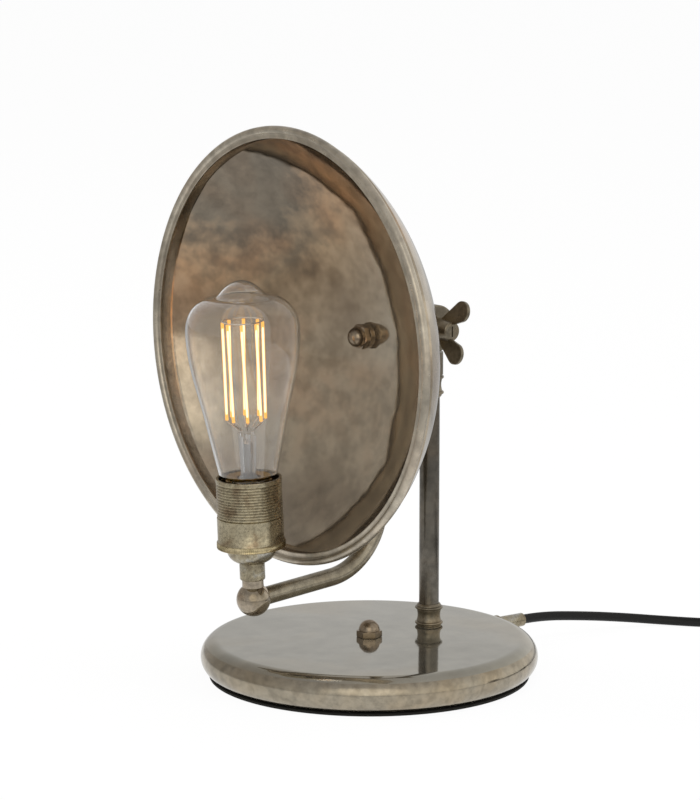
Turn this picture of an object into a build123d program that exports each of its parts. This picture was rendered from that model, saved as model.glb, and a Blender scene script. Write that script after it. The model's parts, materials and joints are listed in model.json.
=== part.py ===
from build123d import *

import os
from math import cos, pi, radians, sin, sqrt, tan

os.makedirs("parts", exist_ok=True)

# A tabletop searchlight lamp. A heavy round base carries a short column with a lapped knuckle
# on top. The head hangs on that knuckle: an open dish, and behind it a bent arm that comes
# forward under the dish and holds a bare filament bulb upright in front of it.
#
# The origin is on the underside, at the middle of the base. +Z is up. The lamp faces -Y, the
# column stands behind the middle on +Y, and the cord leaves the base at the back.

# ------------------------------------------------------------------ driving dimensions, mm
running_gap = 0.02  # between faces that turn on each other
hole_gap = 0.1  # on radius, between a threaded or pushed-in rod and its hole
slip_gap = 0.05  # on radius, between a tube and its socket

# base
base_diameter = 195.8
base_height = 22.2
shell_wall = 1.2
pad_thickness = 2.4
pad_diameter = 186.0
lip_diameter = 168.0  # opening under the base shell, inside its turned-in lip
plate_thickness = 1.5
weight_diameter = 160.0
plate_screw_count = 3
plate_screw_circle = 66.0
plate_screw_radius = 2.0
plate_screw_head_radius = 3.4
plate_screw_length = 9.0

# domed nuts: one in the middle of the base, one in the middle of the dish
nut_across_flats = 13.0
nut_hex_height = 4.0
nut_dome_radius = 6.1
nut_bore_depth = 7.4
nut_turn = 20.0
bolt_radius = 3.9
bolt_head_height = 5.3
bolt_pocket_radius = 9.0
bolt_pocket_depth = 8.0
bolt_stand = 6.8  # how far the bolt rises into its domed nut

# column
column_y = 45.55
column_diameter = 11.7
column_wall = 1.0
pivot_height = 199.2
collar_height = 13.2
collar_seat = 2.8  # how far from its wide end a collar's socket begins
collar_foot_radius = 7.2
collar_waist_radius = 6.63
ring_radius = 8.2
ring_half_width = 0.75
first_ring = 1.6
second_ring = 10.7
nipple_radius = 4.75
nipple_bore = 3.25
nipple_stand = 22.8  # how far the nipple rises above the base
lock_nut_across_flats = 14.0
lock_nut_height = 5.0
lock_nut_flange_radius = 9.5
lock_nut_flange = 1.2
lock_nut_pocket_radius = 10.5
lock_nut_pocket_depth = 9.2

# knuckle
knuckle_radius = 13.8
cheek_thickness = 6.0
lap_gap = 0.3  # from the lap plane to each cheek, filled by the friction washer
knuckle_edge = 0.7
stem_radius = 7.7
stem_clearance = 0.4  # between one stem and the other half's cheek
lower_stem_length = 27.3
upper_stem_length = 25.5
spigot_radius = 4.8
spigot_bore = 3.0
spigot_length = 22.0
friction_washer_inner = 8.8
friction_washer_outer = 13.4
wire_recess_inner = 3.9
wire_recess_outer = 8.6
wire_recess_depth = 4.0
wire_bore_radius = 1.75
wire_bore_offset = 2.4
pivot_pin_radius = 3.0
pivot_pin_gap = 0.075
pivot_head_radius = 5.5
pivot_head_height = 3.2
pivot_head_edge = 1.3
pivot_head_crown = (3.0, 2.68)  # radius and height of a point on the screw's domed head
pivot_washer_thickness = 1.0
pivot_washer_radius = 6.6
slot_width = 0.9
slot_depth = 1.2

# wing nut
wing_boss_length = 12.3
wing_boss_base_radius = 6.6
wing_boss_tip_radius = 5.65
wing_boss_chamfer = 0.5
wing_thickness = 2.3
wing_edge = 0.5
wing_turn = 11.0  # degrees that the wings lean from upright
wing_tip = (17.9, 12.3, 6.1)  # along the boss, out from its axis, radius
wing_root = (3.2, 4.0, 2.6)
wing_step = (11.3, 6.2, 1.2)

# head: the dish faces -Y, turned up by head_tilt
head_tilt = 0.1
hub_forward = 38.09
hub_radius = 9.65
hub_neck_radius = 6.1
head_nipple_radius = 4.0
head_nipple_bore = 3.2
head_nipple_socket = 7.5  # how deep it screws into the knuckle's stem
nipple_window_length = 8.0
nipple_window_half_width = 3.3
dish_diameter = 242.4
dish_depth = 54.95
dish_wall = 1.2
dish_back = 47.2  # from the pivot to the back of the dish
dish_crown_turn = 24.0  # degrees from the axis to where the flatter middle ends
dish_side_turn = 56.5  # lean of the side where it meets the edge
dish_hem = 4.95  # length of the cylindrical edge
bezel_reach = 4.5  # how far the bezel reaches inwards over the mouth
bezel_thickness = 1.0
bezel_bead_radius = 2.3
bezel_bead_proud = 1.2
dish_washer_radius = 7.0
dish_washer_thickness = 1.5

# arm and elbow
arm_diameter = 10.3
arm_wall = 1.0
arm_bend_radius = 39.0
arm_drop = 134.67
elbow_reach = 21.96  # from the bezel forward to the middle of the elbow
elbow_drop = 141.91
elbow_radius = 9.67
arm_socket_depth = 5.17  # how far the arm sits inside each ball
wire_passage_radius = 3.5

# lampholder: places along its axis are measured from the middle of the elbow ball
holder_lean = 2.56
elbow_neck_radius = 6.1
elbow_neck_end = 11.8
elbow_spigot_radius = 4.9
elbow_spigot_bore = 3.4
elbow_spigot_end = 27.0
sleeve_radius = 7.2
sleeve_chamfer = 0.8
cap_start = 22.2
cap_start_radius = 8.5
cap_end = 30.8
cap_end_radius = 14.1
cap_belly = (12.14, 25.64)  # radius and place of a point on the cap's curved flank
cap_wall = 1.6
cap_neck_radius = 13.5
cap_neck_length = 3.0
knurl_radius = 19.4
knurl_height = 3.5
knurl_chamfer = 0.3
shell_radius = 18.7
shell_foot_radius = 19.0
shell_inner_radius = 17.0
band_height = 13.9
thread_pitch = 1.6
thread_count = 13
thread_crest = 18.6
thread_root = 18.0
shell_rim_height = 1.8
insert_radius = 16.8
insert_height = 9.7
insert_boss_radius = 11.0
insert_boss_depth = 4.8
insert_recess_radius = 8.0
insert_recess_depth = 3.5
contact_shell_inner = 13.35
contact_shell_outer = 14.2
contact_shell_height = 22.0
centre_contact_radius = 4.0
centre_contact_height = 1.7
rivet_radius = 1.5

# bulb: a pear-shaped filament lamp, 64 mm across, with a 27 mm screw cap
bulb_contact_gap = 0.1
bulb_tip_height = 1.2
bulb_tip_radius = 4.5
insulator_height = 3.5
insulator_foot_radius = 5.0
cap_screw_radius = 13.1
cap_screw_root = 12.3
cap_screw_pitch = 3.6
cap_screw_turns = 5
cap_collar_radius = 12.9
cap_collar_height = 2.8
cap_bore_radius = 11.8
bulb_cap_height = 22.3
glass_wall = 0.8
glass_neck_radius = 11.7
glass_neck_depth = 9.0
glass_shoulder_radius = 16.7
glass_shoulder_height = 4.2  # above the cap
glass_shoulder_lean = 0.22  # outwards for each millimetre up
glass_waist_radius = 23.0
glass_waist_height = 33.7
glass_radius = 32.0
glass_widest_height = 84.5
glass_top_radius = 20.0
glass_top_height = 103.3
glass_pip_radius = 12.2
glass_pip_foot = 106.4
glass_height = 113.3
glass_crown_inset = 0.4  # shares of the wall that the crown and pip move in by
glass_pip_inset = 0.7
stem_flare_radius = 10.8
stem_tube_radius = 5.6
stem_wall = 1.0
stem_height = 28.7
stick_count = 8
stick_radius = 0.9
stick_foot_circle = 10.8
stick_top_circle = 11.2
stick_foot_height = 34.7
stick_top_height = 89.7
stick_start_angle = -33.2
stick_twist = -7.5
support_wire_radius = 0.35

# wires and cord
wire_diameter = 1.1
wire_side = 1.95  # from the lamp's middle plane to each pair
wire_half_pitch = 0.6
wire_bend_radius = 3.0
cord_diameter = 5.6
grip_height = 13.5
grip_thread_radius = 3.95
grip_flange_radius = 5.6
grip_flange_proud = 2.0
grip_body_radius = 4.4
grip_tip_radius = 4.0
grip_bore_radius = 2.9
grip_end_y = 119.5
grip_edge = 0.3
cord_set_in = 1.5  # how far inside the grip's end the free cord begins
grip_thread_length = 12.0
grip_nut_radius = 5.0
grip_nut_height = 3.0
pocket_half_width = 10.0
pocket_front_y = 55.2
pocket_back_y = 81.0
pocket_depth = 14.6
terminal_size = (16.0, 10.0, 14.3)
terminal_front_y = 57.0
clamp_size = (18.0, 6.0, 9.5)
clamp_front_y = 71.0
small_screw_radius = 1.5
small_screw_head_radius = 2.6
small_screw_head_height = 1.8
clamp_screw_spacing = 12.4
terminal_screw_spacing = 8.0

# switch on the cord
switch_length = 60.0
switch_width = 24.0
switch_half_height = 7.2
switch_edge = 2.5
switch_start = (80.0, 249.4)
switch_heading = 30.0
switch_cavity = (44.0, 16.0)
switch_floor = 1.8
rocker_radius = 10.5
rocker_width = 12.0
rocker_gap = 0.3
rocker_pivot_height = 9.5
rocker_under = 3.0
rocker_ridge = 5.2  # height of the rocker's middle above its pivot
rocker_rise = 7.0  # degrees each face climbs from the middle, and the rocker's throw each way
rocker_axle_radius = 1.5
rocker_axle_half = 8.0
switch_screw_place = (24.5, 6.0)
contact_strip = (10.0, 4.0, 1.0)
contact_riser_height = 3.2

# coil of spare cord, and the plug beyond it
floor_clearance = 0.05
cord_end_gap = 0.5  # between the end of a cord and the face that it enters
coil_centre = (182.8, 260.1)
coil_outer_turn = 41.5
coil_inner_turn = 21.0
coil_exit_height = 10.08
plug_heading_x = 224.3
plug_back_y = 212.0
plug_radius = 18.3
plug_length = 45.0
plug_neck_radius = 4.2
plug_sleeve_radius = 5.2
plug_sleeve_end = 13.5  # from the plug's back, as are the next two
plug_flare = (11.35, 22.5)
plug_grip_start = 33.3
plug_flare_lean = 0.2
plug_edge = 0.3
pin_radius = 2.4
pin_length = 19.0
pin_spacing = 19.0
pin_root = 12.0
pin_root_radius = 1.9

# ------------------------------------------------------------------ places worked out
base_radius = base_diameter / 2
rim_radius = (base_height - pad_thickness) / 2
rim_centre = (base_radius - rim_radius, base_height - rim_radius)
plate_top = pad_thickness + plate_thickness
weight_top = base_height - shell_wall
bolt_seat = plate_top + bolt_pocket_depth
lock_nut_seat = plate_top + lock_nut_pocket_depth
pocket_top = plate_top + pocket_depth

up = Vector(0, 0, 1)
side = Vector(1, 0, 0)
pivot = Vector(0, column_y, pivot_height)
forward = Vector(0, -cos(radians(head_tilt)), sin(radians(head_tilt)))
head_up = Vector(0, sin(radians(head_tilt)), cos(radians(head_tilt)))
holder_up = forward * sin(radians(holder_lean)) + head_up * cos(radians(holder_lean))
stem_start = knuckle_radius + stem_clearance
stem_top = pivot_height - lower_stem_length
column_start = base_height + collar_seat
column_end = stem_top - collar_seat

dish_radius = dish_diameter / 2
# two tangent arcs, crown and side, make the dish's back: their radii solve the dish's radius and depth
crown, side_lean = radians(dish_crown_turn), radians(dish_side_turn)
crown_rise = 1 - cos(crown)
side_run, side_rise = sin(side_lean) - sin(crown), cos(crown) - cos(side_lean)
curve_scale = sin(crown) * side_rise - side_run * crown_rise
crown_curve = (dish_radius * side_rise - dish_depth * side_run) / curve_scale
side_curve = (dish_depth * sin(crown) - dish_radius * crown_rise) / curve_scale
side_centre_radius = (crown_curve - side_curve) * sin(crown)
side_centre = dish_back + crown_curve - (crown_curve - side_curve) * cos(crown)
bezel_plane = dish_back + dish_depth + dish_hem + bezel_thickness
bezel_inner = dish_radius - bezel_reach
elbow_forward = bezel_plane + elbow_reach

hub_centre = pivot + forward * hub_forward
elbow_centre = pivot + forward * elbow_forward - head_up * elbow_drop
arm_corner = pivot + forward * hub_forward - head_up * arm_drop
arm_heading = (elbow_centre - arm_corner).normalized()
arm_seat = hub_radius - arm_socket_depth

knurl_top = cap_end + knurl_height
insert_top = knurl_top + insert_height
contact_top = insert_top - insert_recess_depth + centre_contact_height
bulb_start = contact_top + bulb_contact_gap
insulator_start = bulb_start + bulb_tip_height
cap_foot = insulator_start + insulator_height
cap_top = cap_foot + bulb_cap_height


def seat(origin, along):
    """A plane that faces along a direction square to the lamp's side axis."""
    return Plane(origin=origin, x_dir=side, z_dir=along)


def section(origin, along):
    """A plane for turned profiles: x is the radius and y runs along the axis."""
    return Plane(origin=origin, x_dir=side, z_dir=side.cross(Vector(along)))


def spin(profile_plane):
    """Revolve the sketch about its plane's y axis."""
    revolve(axis=Axis(profile_plane.origin, profile_plane.y_dir))


def save(piece, name):
    """Label a finished piece and write it as its own file."""
    piece.part.label = name
    export_step(piece.part, f"parts/{name}.step")


def round_tube(foot, outer, inner, length):
    """A plain ring or tube standing on a plane."""
    with BuildPart() as tube:
        with BuildSketch(foot):
            Circle(outer)
            if inner > 0:
                Circle(inner, mode=Mode.SUBTRACT)
        extrude(amount=length)
    return tube


def turned(profile_plane, *outline):
    """A turned piece from the corners of its profile."""
    with BuildPart() as piece:
        with BuildSketch(profile_plane):
            Polygon(*outline, align=None)
        spin(profile_plane)
    return piece


# ------------------------------------------------------------------ base
base_section = section((0, 0, 0), up)

base_pad = round_tube(Plane.XY, pad_diameter / 2, 0, pad_thickness)
save(base_pad, "base_pad")

with BuildPart() as base_shell:
    with BuildSketch(base_section):
        with BuildLine():
            Line((0, base_height), (rim_centre[0], base_height))
            ThreePointArc(
                (rim_centre[0], base_height),
                (base_radius, rim_centre[1]),
                (rim_centre[0], pad_thickness),
            )
            Polyline(
                (rim_centre[0], pad_thickness),
                (lip_diameter / 2, pad_thickness),
                (lip_diameter / 2, pad_thickness + shell_wall),
                (rim_centre[0], pad_thickness + shell_wall),
            )
            ThreePointArc(
                (rim_centre[0], pad_thickness + shell_wall),
                (base_radius - shell_wall, rim_centre[1]),
                (rim_centre[0], weight_top),
            )
            Polyline((rim_centre[0], weight_top), (0, weight_top), (0, base_height))
        make_face()
    spin(base_section)
    with BuildSketch(Plane.XY.offset(base_height)):
        Circle(bolt_radius + hole_gap)
        with Locations((0, column_y)):
            Circle(nipple_radius + hole_gap)
    extrude(amount=-2 * shell_wall, mode=Mode.SUBTRACT)
    with BuildSketch(seat((0, rim_centre[0], grip_height), (0, 1, 0))):
        Circle(grip_thread_radius + hole_gap)
    extrude(amount=2 * rim_radius, mode=Mode.SUBTRACT)
save(base_shell, "base_shell")

plate_underside = Plane(origin=(0, 0, pad_thickness), x_dir=(1, 0, 0), z_dir=(0, 0, -1))
screw_head_height = plate_screw_head_radius - plate_screw_radius

with BuildPart() as base_plate:
    with BuildSketch(Plane.XY.offset(pad_thickness)):
        Circle(lip_diameter / 2 - 2 * hole_gap)
    extrude(amount=plate_thickness)
    with Locations(plate_underside):
        with PolarLocations(plate_screw_circle, plate_screw_count, start_angle=90):
            CounterSinkHole(
                plate_screw_radius + slip_gap,
                plate_screw_head_radius + slip_gap,
                depth=plate_thickness,
                counter_sink_angle=90,
            )
save(base_plate, "base_plate")

below = (Align.CENTER, Align.CENTER, Align.MAX)

with BuildPart() as plate_screws:
    with Locations(plate_underside):
        with PolarLocations(plate_screw_circle, plate_screw_count, start_angle=90):
            Cone(plate_screw_radius, plate_screw_head_radius, screw_head_height, align=below)
            Cylinder(plate_screw_radius, plate_screw_length, align=below)
save(plate_screws, "plate_screws")

with BuildPart() as base_weight:
    with BuildSketch(Plane.XY.offset(plate_top)):
        Circle(weight_diameter / 2)
        Circle(bolt_radius + hole_gap, mode=Mode.SUBTRACT)
        with Locations((0, column_y)):
            Circle(nipple_radius + hole_gap, mode=Mode.SUBTRACT)
    extrude(amount=weight_top - plate_top)
    with BuildSketch(Plane.XY.offset(plate_top)):
        Circle(bolt_pocket_radius)
    extrude(amount=bolt_pocket_depth, mode=Mode.SUBTRACT)
    with BuildSketch(Plane.XY.offset(plate_top)):
        with Locations((0, column_y)):
            Circle(lock_nut_pocket_radius)
    extrude(amount=lock_nut_pocket_depth, mode=Mode.SUBTRACT)
    with BuildSketch(Plane.XY.offset(plate_top)):
        with Locations((0, (pocket_front_y + pocket_back_y) / 2)):
            Rectangle(2 * pocket_half_width, pocket_back_y - pocket_front_y)
    extrude(amount=pocket_depth, mode=Mode.SUBTRACT)
    with BuildSketch(Plane.XY.offset(plate_top)):
        with PolarLocations(plate_screw_circle, plate_screw_count, start_angle=-90):
            Circle(plate_screw_radius + slip_gap)
    extrude(amount=plate_screw_length, mode=Mode.SUBTRACT)
    with BuildSketch(Plane.XY.offset(pocket_top)):
        with Locations((0, clamp_front_y + clamp_size[1] / 2)):
            with GridLocations(clamp_screw_spacing, 0, 2, 1):
                Circle(small_screw_radius + slip_gap)
    extrude(amount=small_screw_head_height, mode=Mode.SUBTRACT)
save(base_weight, "base_weight")

with BuildPart() as centre_bolt:
    with BuildSketch(Plane.XY.offset(bolt_seat)):
        RegularPolygon(nut_across_flats / 2, 6, major_radius=False)
    extrude(amount=-bolt_head_height)
    with BuildSketch(Plane.XY.offset(bolt_seat)):
        Circle(bolt_radius)
    extrude(amount=base_height + bolt_stand - bolt_seat)
save(centre_bolt, "centre_bolt")


def domed_nut(foot):
    """A hexagon nut with a closed dome, standing on a plane."""
    profile = Plane(origin=foot.origin, x_dir=foot.x_dir, z_dir=-foot.y_dir)
    across_corners = nut_across_flats / sqrt(3)
    corner_drop = (across_corners - nut_across_flats / 2) / sqrt(3)
    with BuildPart() as nut:
        with BuildSketch(foot):
            RegularPolygon(nut_across_flats / 2, 6, major_radius=False, rotation=nut_turn)
        extrude(amount=nut_hex_height)
        with BuildSketch(profile):
            Polygon(
                (0, 0),
                (across_corners, 0),
                (across_corners, nut_hex_height - corner_drop),
                (nut_across_flats / 2, nut_hex_height),
                (0, nut_hex_height),
                align=None,
            )
        revolve(axis=Axis(foot.origin, foot.z_dir), mode=Mode.INTERSECT)
        with BuildSketch(profile):
            with BuildLine():
                Line((0, nut_hex_height / 2), (nut_dome_radius, nut_hex_height / 2))
                Line((nut_dome_radius, nut_hex_height / 2), (nut_dome_radius, nut_hex_height))
                RadiusArc(
                    (nut_dome_radius, nut_hex_height),
                    (0, nut_hex_height + nut_dome_radius),
                    -nut_dome_radius,
                )
                Line((0, nut_hex_height + nut_dome_radius), (0, nut_hex_height / 2))
            make_face()
        revolve(axis=Axis(foot.origin, foot.z_dir))
        with BuildSketch(foot):
            Circle(head_nipple_radius + slip_gap)
        extrude(amount=nut_bore_depth, mode=Mode.SUBTRACT)
    return nut


base_cap_nut = domed_nut(Plane.XY.offset(base_height))
save(base_cap_nut, "base_cap_nut")

# ------------------------------------------------------------------ column


def collar(profile_plane):
    """A turned collar with two rings: wide end at the plane's origin, narrow end along its y."""
    socket_radius = column_diameter / 2 + slip_gap
    ring_foot = ring_radius - ring_half_width
    bead_radius = collar_foot_radius - hole_gap
    waist_height = (first_ring + second_ring) / 2
    bead_gap = 2 * ring_half_width
    with BuildPart() as piece:
        with BuildSketch(profile_plane):
            with BuildLine():
                Polyline(
                    (nipple_radius + hole_gap, 0),
                    (collar_foot_radius, 0),
                    (collar_foot_radius, first_ring - ring_half_width),
                    (ring_foot, first_ring - ring_half_width),
                )
                ThreePointArc(
                    (ring_foot, first_ring - ring_half_width),
                    (ring_radius, first_ring),
                    (ring_foot, first_ring + ring_half_width),
                )
                Polyline(
                    (ring_foot, first_ring + ring_half_width),
                    (bead_radius, first_ring + ring_half_width),
                    (bead_radius, first_ring + bead_gap),
                )
                ThreePointArc(
                    (bead_radius, first_ring + bead_gap),
                    (collar_waist_radius, waist_height),
                    (bead_radius, second_ring - bead_gap),
                )
                Polyline(
                    (bead_radius, second_ring - bead_gap),
                    (bead_radius, second_ring - ring_half_width),
                    (ring_foot, second_ring - ring_half_width),
                )
                ThreePointArc(
                    (ring_foot, second_ring - ring_half_width),
                    (ring_radius, second_ring),
                    (ring_foot, second_ring + ring_half_width),
                )
                Polyline(
                    (ring_foot, second_ring + ring_half_width),
                    (bead_radius, second_ring + ring_half_width),
                    (bead_radius, second_ring + bead_gap),
                    (socket_radius + 4 * hole_gap, collar_height),
                    (socket_radius, collar_height),
                    (socket_radius, collar_seat),
                    (nipple_radius + hole_gap, collar_seat),
                    (nipple_radius + hole_gap, 0),
                )
            make_face()
        spin(profile_plane)
    return piece


foot_collar = collar(section((0, column_y, base_height), (0, 0, 1)))
save(foot_collar, "foot_collar")

top_collar = collar(section((0, column_y, stem_top), (0, 0, -1)))
save(top_collar, "top_collar")

column_tube = round_tube(
    seat((0, column_y, column_start), up),
    column_diameter / 2,
    column_diameter / 2 - column_wall,
    column_end - column_start,
)
save(column_tube, "column_tube")

nipple_start = lock_nut_seat - lock_nut_flange - lock_nut_height - shell_wall / 2
column_nipple = round_tube(
    seat((0, column_y, nipple_start), up),
    nipple_radius,
    nipple_bore,
    base_height + nipple_stand - nipple_start,
)
save(column_nipple, "column_nipple")

with BuildPart() as column_lock_nut:
    with BuildSketch(seat((0, column_y, lock_nut_seat), up)):
        Circle(lock_nut_flange_radius)
    extrude(amount=-lock_nut_flange)
    with BuildSketch(seat((0, column_y, lock_nut_seat - lock_nut_flange), up)):
        RegularPolygon(lock_nut_across_flats / 2, 6, major_radius=False)
    extrude(amount=-lock_nut_height)
    with BuildSketch(seat((0, column_y, lock_nut_seat), up)):
        Circle(nipple_radius + hole_gap)
    extrude(amount=-(lock_nut_flange + lock_nut_height), mode=Mode.SUBTRACT)
save(column_lock_nut, "column_lock_nut")

# ------------------------------------------------------------------ knuckle


def knuckle_half(lap, stem_length, pin_gap):
    """One cheek of the lapped joint and its stem.

    The lap plane's x axis points from the lap into this half, and its z axis out along the stem.
    """
    inner_face = Plane(
        origin=lap.origin + lap.x_dir * lap_gap, x_dir=lap.z_dir, z_dir=lap.x_dir
    )
    wire_bore_start = (wire_recess_inner + wire_recess_outer) / 2
    with BuildPart() as half:
        with BuildSketch(inner_face):
            Circle(knuckle_radius)
        extrude(amount=cheek_thickness)
        outer_rim = half.faces().sort_by(Axis(lap.origin, lap.x_dir))[-1].edges()
        fillet(outer_rim, knuckle_edge)
        with BuildSketch(lap):
            Circle(stem_radius)
            with Locations((lap_gap + cheek_thickness / 2, 0)):
                Rectangle(cheek_thickness, 2 * stem_radius, mode=Mode.INTERSECT)
        extrude(amount=stem_start)
        with BuildSketch(lap.offset(stem_start)):
            Circle(stem_radius)
        extrude(amount=stem_length - stem_start)
        with BuildSketch(inner_face):
            Circle(wire_recess_outer)
            Circle(wire_recess_inner, mode=Mode.SUBTRACT)
        extrude(amount=wire_recess_depth, mode=Mode.SUBTRACT)
        with BuildSketch(inner_face):
            Circle(pivot_pin_radius + pin_gap)
        extrude(amount=cheek_thickness, mode=Mode.SUBTRACT)
        with BuildSketch(lap.offset(wire_bore_start)):
            with Locations((wire_bore_offset, 0)):
                Circle(wire_bore_radius)
        extrude(amount=stem_length - wire_bore_start, mode=Mode.SUBTRACT)
    return half


lower_lap = Plane(origin=pivot, x_dir=-side, z_dir=-up)
upper_lap = Plane(origin=pivot, x_dir=side, z_dir=forward)

knuckle_lower_half = knuckle_half(lower_lap, lower_stem_length, slip_gap)
with BuildPart() as knuckle_lower:
    add(knuckle_lower_half.part)
    with BuildSketch(lower_lap.offset(lower_stem_length)):
        Circle(spigot_radius)
    extrude(amount=spigot_length)
    with BuildSketch(lower_lap.offset(stem_start + lap_gap)):
        Circle(spigot_bore)
    extrude(amount=lower_stem_length + spigot_length - stem_start - lap_gap, mode=Mode.SUBTRACT)
save(knuckle_lower, "knuckle_lower")

head_nipple_start = upper_stem_length - head_nipple_socket
knuckle_upper_half = knuckle_half(upper_lap, upper_stem_length, pivot_pin_gap)
with BuildPart() as knuckle_upper:
    add(knuckle_upper_half.part)
    with BuildSketch(upper_lap.offset(head_nipple_start)):
        Circle(head_nipple_radius + slip_gap)
    extrude(amount=head_nipple_socket, mode=Mode.SUBTRACT)
save(knuckle_upper, "knuckle_upper")

knuckle_friction_washer = round_tube(
    Plane(origin=pivot - side * lap_gap, x_dir=up, z_dir=side),
    friction_washer_outer,
    friction_washer_inner,
    2 * lap_gap - running_gap,
)
save(knuckle_friction_washer, "knuckle_friction_washer")

cheek_outside = lap_gap + cheek_thickness
washer_start = cheek_outside + running_gap
boss_start = washer_start + pivot_washer_thickness
boss_end = boss_start + wing_boss_length
pin_section = Plane(origin=pivot, x_dir=(0, 0, 1), z_dir=(0, 1, 0))

with BuildPart() as pivot_screw:
    with BuildSketch(pin_section):
        with BuildLine():
            ThreePointArc(
                (0, -cheek_outside - pivot_head_height),
                (pivot_head_crown[0], -cheek_outside - pivot_head_crown[1]),
                (pivot_head_radius, -cheek_outside - pivot_head_edge),
            )
            Polyline(
                (pivot_head_radius, -cheek_outside - pivot_head_edge),
                (pivot_head_radius, -cheek_outside),
                (pivot_pin_radius, -cheek_outside),
                (pivot_pin_radius, boss_end),
                (0, boss_end),
                (0, -cheek_outside - pivot_head_height),
            )
        make_face()
    spin(pin_section)
    with BuildSketch(Plane(origin=pivot + side * boss_end, x_dir=head_up, z_dir=side)):
        Rectangle(3 * pivot_pin_radius, slot_width)
    extrude(amount=-slot_depth, mode=Mode.SUBTRACT)
    head_face = pivot - side * (cheek_outside + pivot_head_height)
    with BuildSketch(Plane(origin=head_face, x_dir=head_up, z_dir=side)):
        Rectangle(3 * pivot_head_radius, slot_width)
    extrude(amount=slot_depth, mode=Mode.SUBTRACT)
save(pivot_screw, "pivot_screw")

pivot_washer = round_tube(
    Plane(origin=pivot + side * washer_start, x_dir=up, z_dir=side),
    pivot_washer_radius,
    pivot_pin_radius + pivot_pin_gap,
    pivot_washer_thickness,
)
save(pivot_washer, "pivot_washer")

lean = radians(wing_turn)
wing_plane = Plane(
    origin=pivot + side * boss_start, x_dir=side, z_dir=(0, -cos(lean), sin(lean))
)

with BuildPart() as wing_nut:
    for half_turn in (1, -1):
        with BuildSketch(wing_plane):
            for along, out, lobe in (wing_tip, wing_root, wing_step):
                with Locations((along, half_turn * out)):
                    Circle(lobe)
            make_hull()
        extrude(amount=wing_thickness / 2, both=True)
    fillet(wing_nut.edges(), wing_edge)
    with BuildSketch(Plane(origin=wing_plane.origin, x_dir=up, z_dir=(0, 1, 0))):
        Polygon(
            (0, 0),
            (wing_boss_base_radius, 0),
            (wing_boss_tip_radius, wing_boss_length - wing_boss_chamfer),
            (wing_boss_tip_radius - wing_boss_chamfer, wing_boss_length),
            (0, wing_boss_length),
            align=None,
        )
    revolve(axis=Axis(pivot, side))
    with BuildSketch(Plane(origin=wing_plane.origin, x_dir=up, z_dir=side)):
        Circle(pivot_pin_radius + pivot_pin_gap)
    extrude(amount=2 * wing_boss_length, mode=Mode.SUBTRACT)
save(wing_nut, "wing_nut")

# ------------------------------------------------------------------ hub and dish
head_section = section(pivot, forward)

with BuildPart() as head_hub:
    with BuildSketch(head_section):
        neck_end = hub_forward - sqrt(hub_radius**2 - hub_neck_radius**2)
        bore = head_nipple_radius + slip_gap
        with BuildLine():
            Polyline(
                (hub_neck_radius, 2 * hub_forward - neck_end),
                (hub_neck_radius, dish_back),
                (bore, dish_back),
                (bore, upper_stem_length),
                (hub_neck_radius, upper_stem_length),
                (hub_neck_radius, neck_end),
            )
            ThreePointArc(
                (hub_neck_radius, neck_end),
                (hub_radius, hub_forward),
                (hub_neck_radius, 2 * hub_forward - neck_end),
            )
        make_face()
    spin(head_section)
    with BuildSketch(seat(hub_centre - head_up * arm_seat, -head_up)):
        Circle(arm_diameter / 2 + slip_gap)
    extrude(amount=hub_radius, mode=Mode.SUBTRACT)
    with BuildSketch(seat(hub_centre, -head_up)):
        Circle(wire_passage_radius)
    extrude(amount=arm_seat, mode=Mode.SUBTRACT)
save(head_hub, "head_hub")


def on_dish(radius, inset):
    """A point of the head's section at this radius, this far inside the back of the dish."""
    if radius < (crown_curve - inset) * sin(crown):
        return (radius, dish_back + crown_curve - sqrt((crown_curve - inset) ** 2 - radius**2))
    run = radius - side_centre_radius
    return (radius, side_centre - sqrt((side_curve - inset) ** 2 - run**2))


hole_radius = head_nipple_radius + hole_gap
hem_inner = dish_radius - dish_wall
hem_end = dish_back + dish_depth + dish_hem

with BuildPart() as dish:
    with BuildSketch(head_section):
        with BuildLine():
            for inset, edge in ((0, dish_radius), (dish_wall, hem_inner)):
                crown_edge = (crown_curve - inset) * sin(crown)
                ThreePointArc(
                    on_dish(hole_radius, inset),
                    on_dish(crown_edge / 2, inset),
                    on_dish(crown_edge, inset),
                )
                ThreePointArc(
                    on_dish(crown_edge, inset),
                    on_dish((crown_edge + edge) / 2, inset),
                    on_dish(edge, inset),
                )
                Line(on_dish(edge, inset), (edge, hem_end))
            Line((dish_radius, hem_end), (hem_inner, hem_end))
            Line(on_dish(hole_radius, dish_wall), on_dish(hole_radius, 0))
        make_face()
    spin(head_section)
save(dish, "dish")

bead_centre_radius = dish_radius + bezel_bead_proud + slip_gap - bezel_thickness
bead_centre = bezel_plane + bezel_bead_proud - bezel_bead_radius

with BuildPart() as dish_rim:
    with BuildSketch(head_section):
        with Locations((bead_centre_radius, bead_centre)):
            Circle(bezel_bead_radius)
        Polygon(
            (bezel_inner, bezel_plane - bezel_thickness),
            (bead_centre_radius, bezel_plane - bezel_thickness),
            (bead_centre_radius, bezel_plane),
            (bezel_inner, bezel_plane),
            align=None,
        )
        Polygon(
            (hem_inner - slip_gap, hem_end - 2 * bezel_bead_radius),
            (dish_radius + slip_gap, hem_end - 2 * bezel_bead_radius),
            (dish_radius + slip_gap, hem_end),
            (hem_inner - slip_gap, hem_end),
            align=None,
            mode=Mode.SUBTRACT,
        )
    spin(head_section)
save(dish_rim, "dish_rim")

washer_seat = on_dish(dish_washer_radius, dish_wall)[1]
dish_washer = round_tube(
    seat(pivot + forward * washer_seat, forward),
    dish_washer_radius,
    hole_radius,
    dish_washer_thickness,
)
save(dish_washer, "dish_washer")

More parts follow.
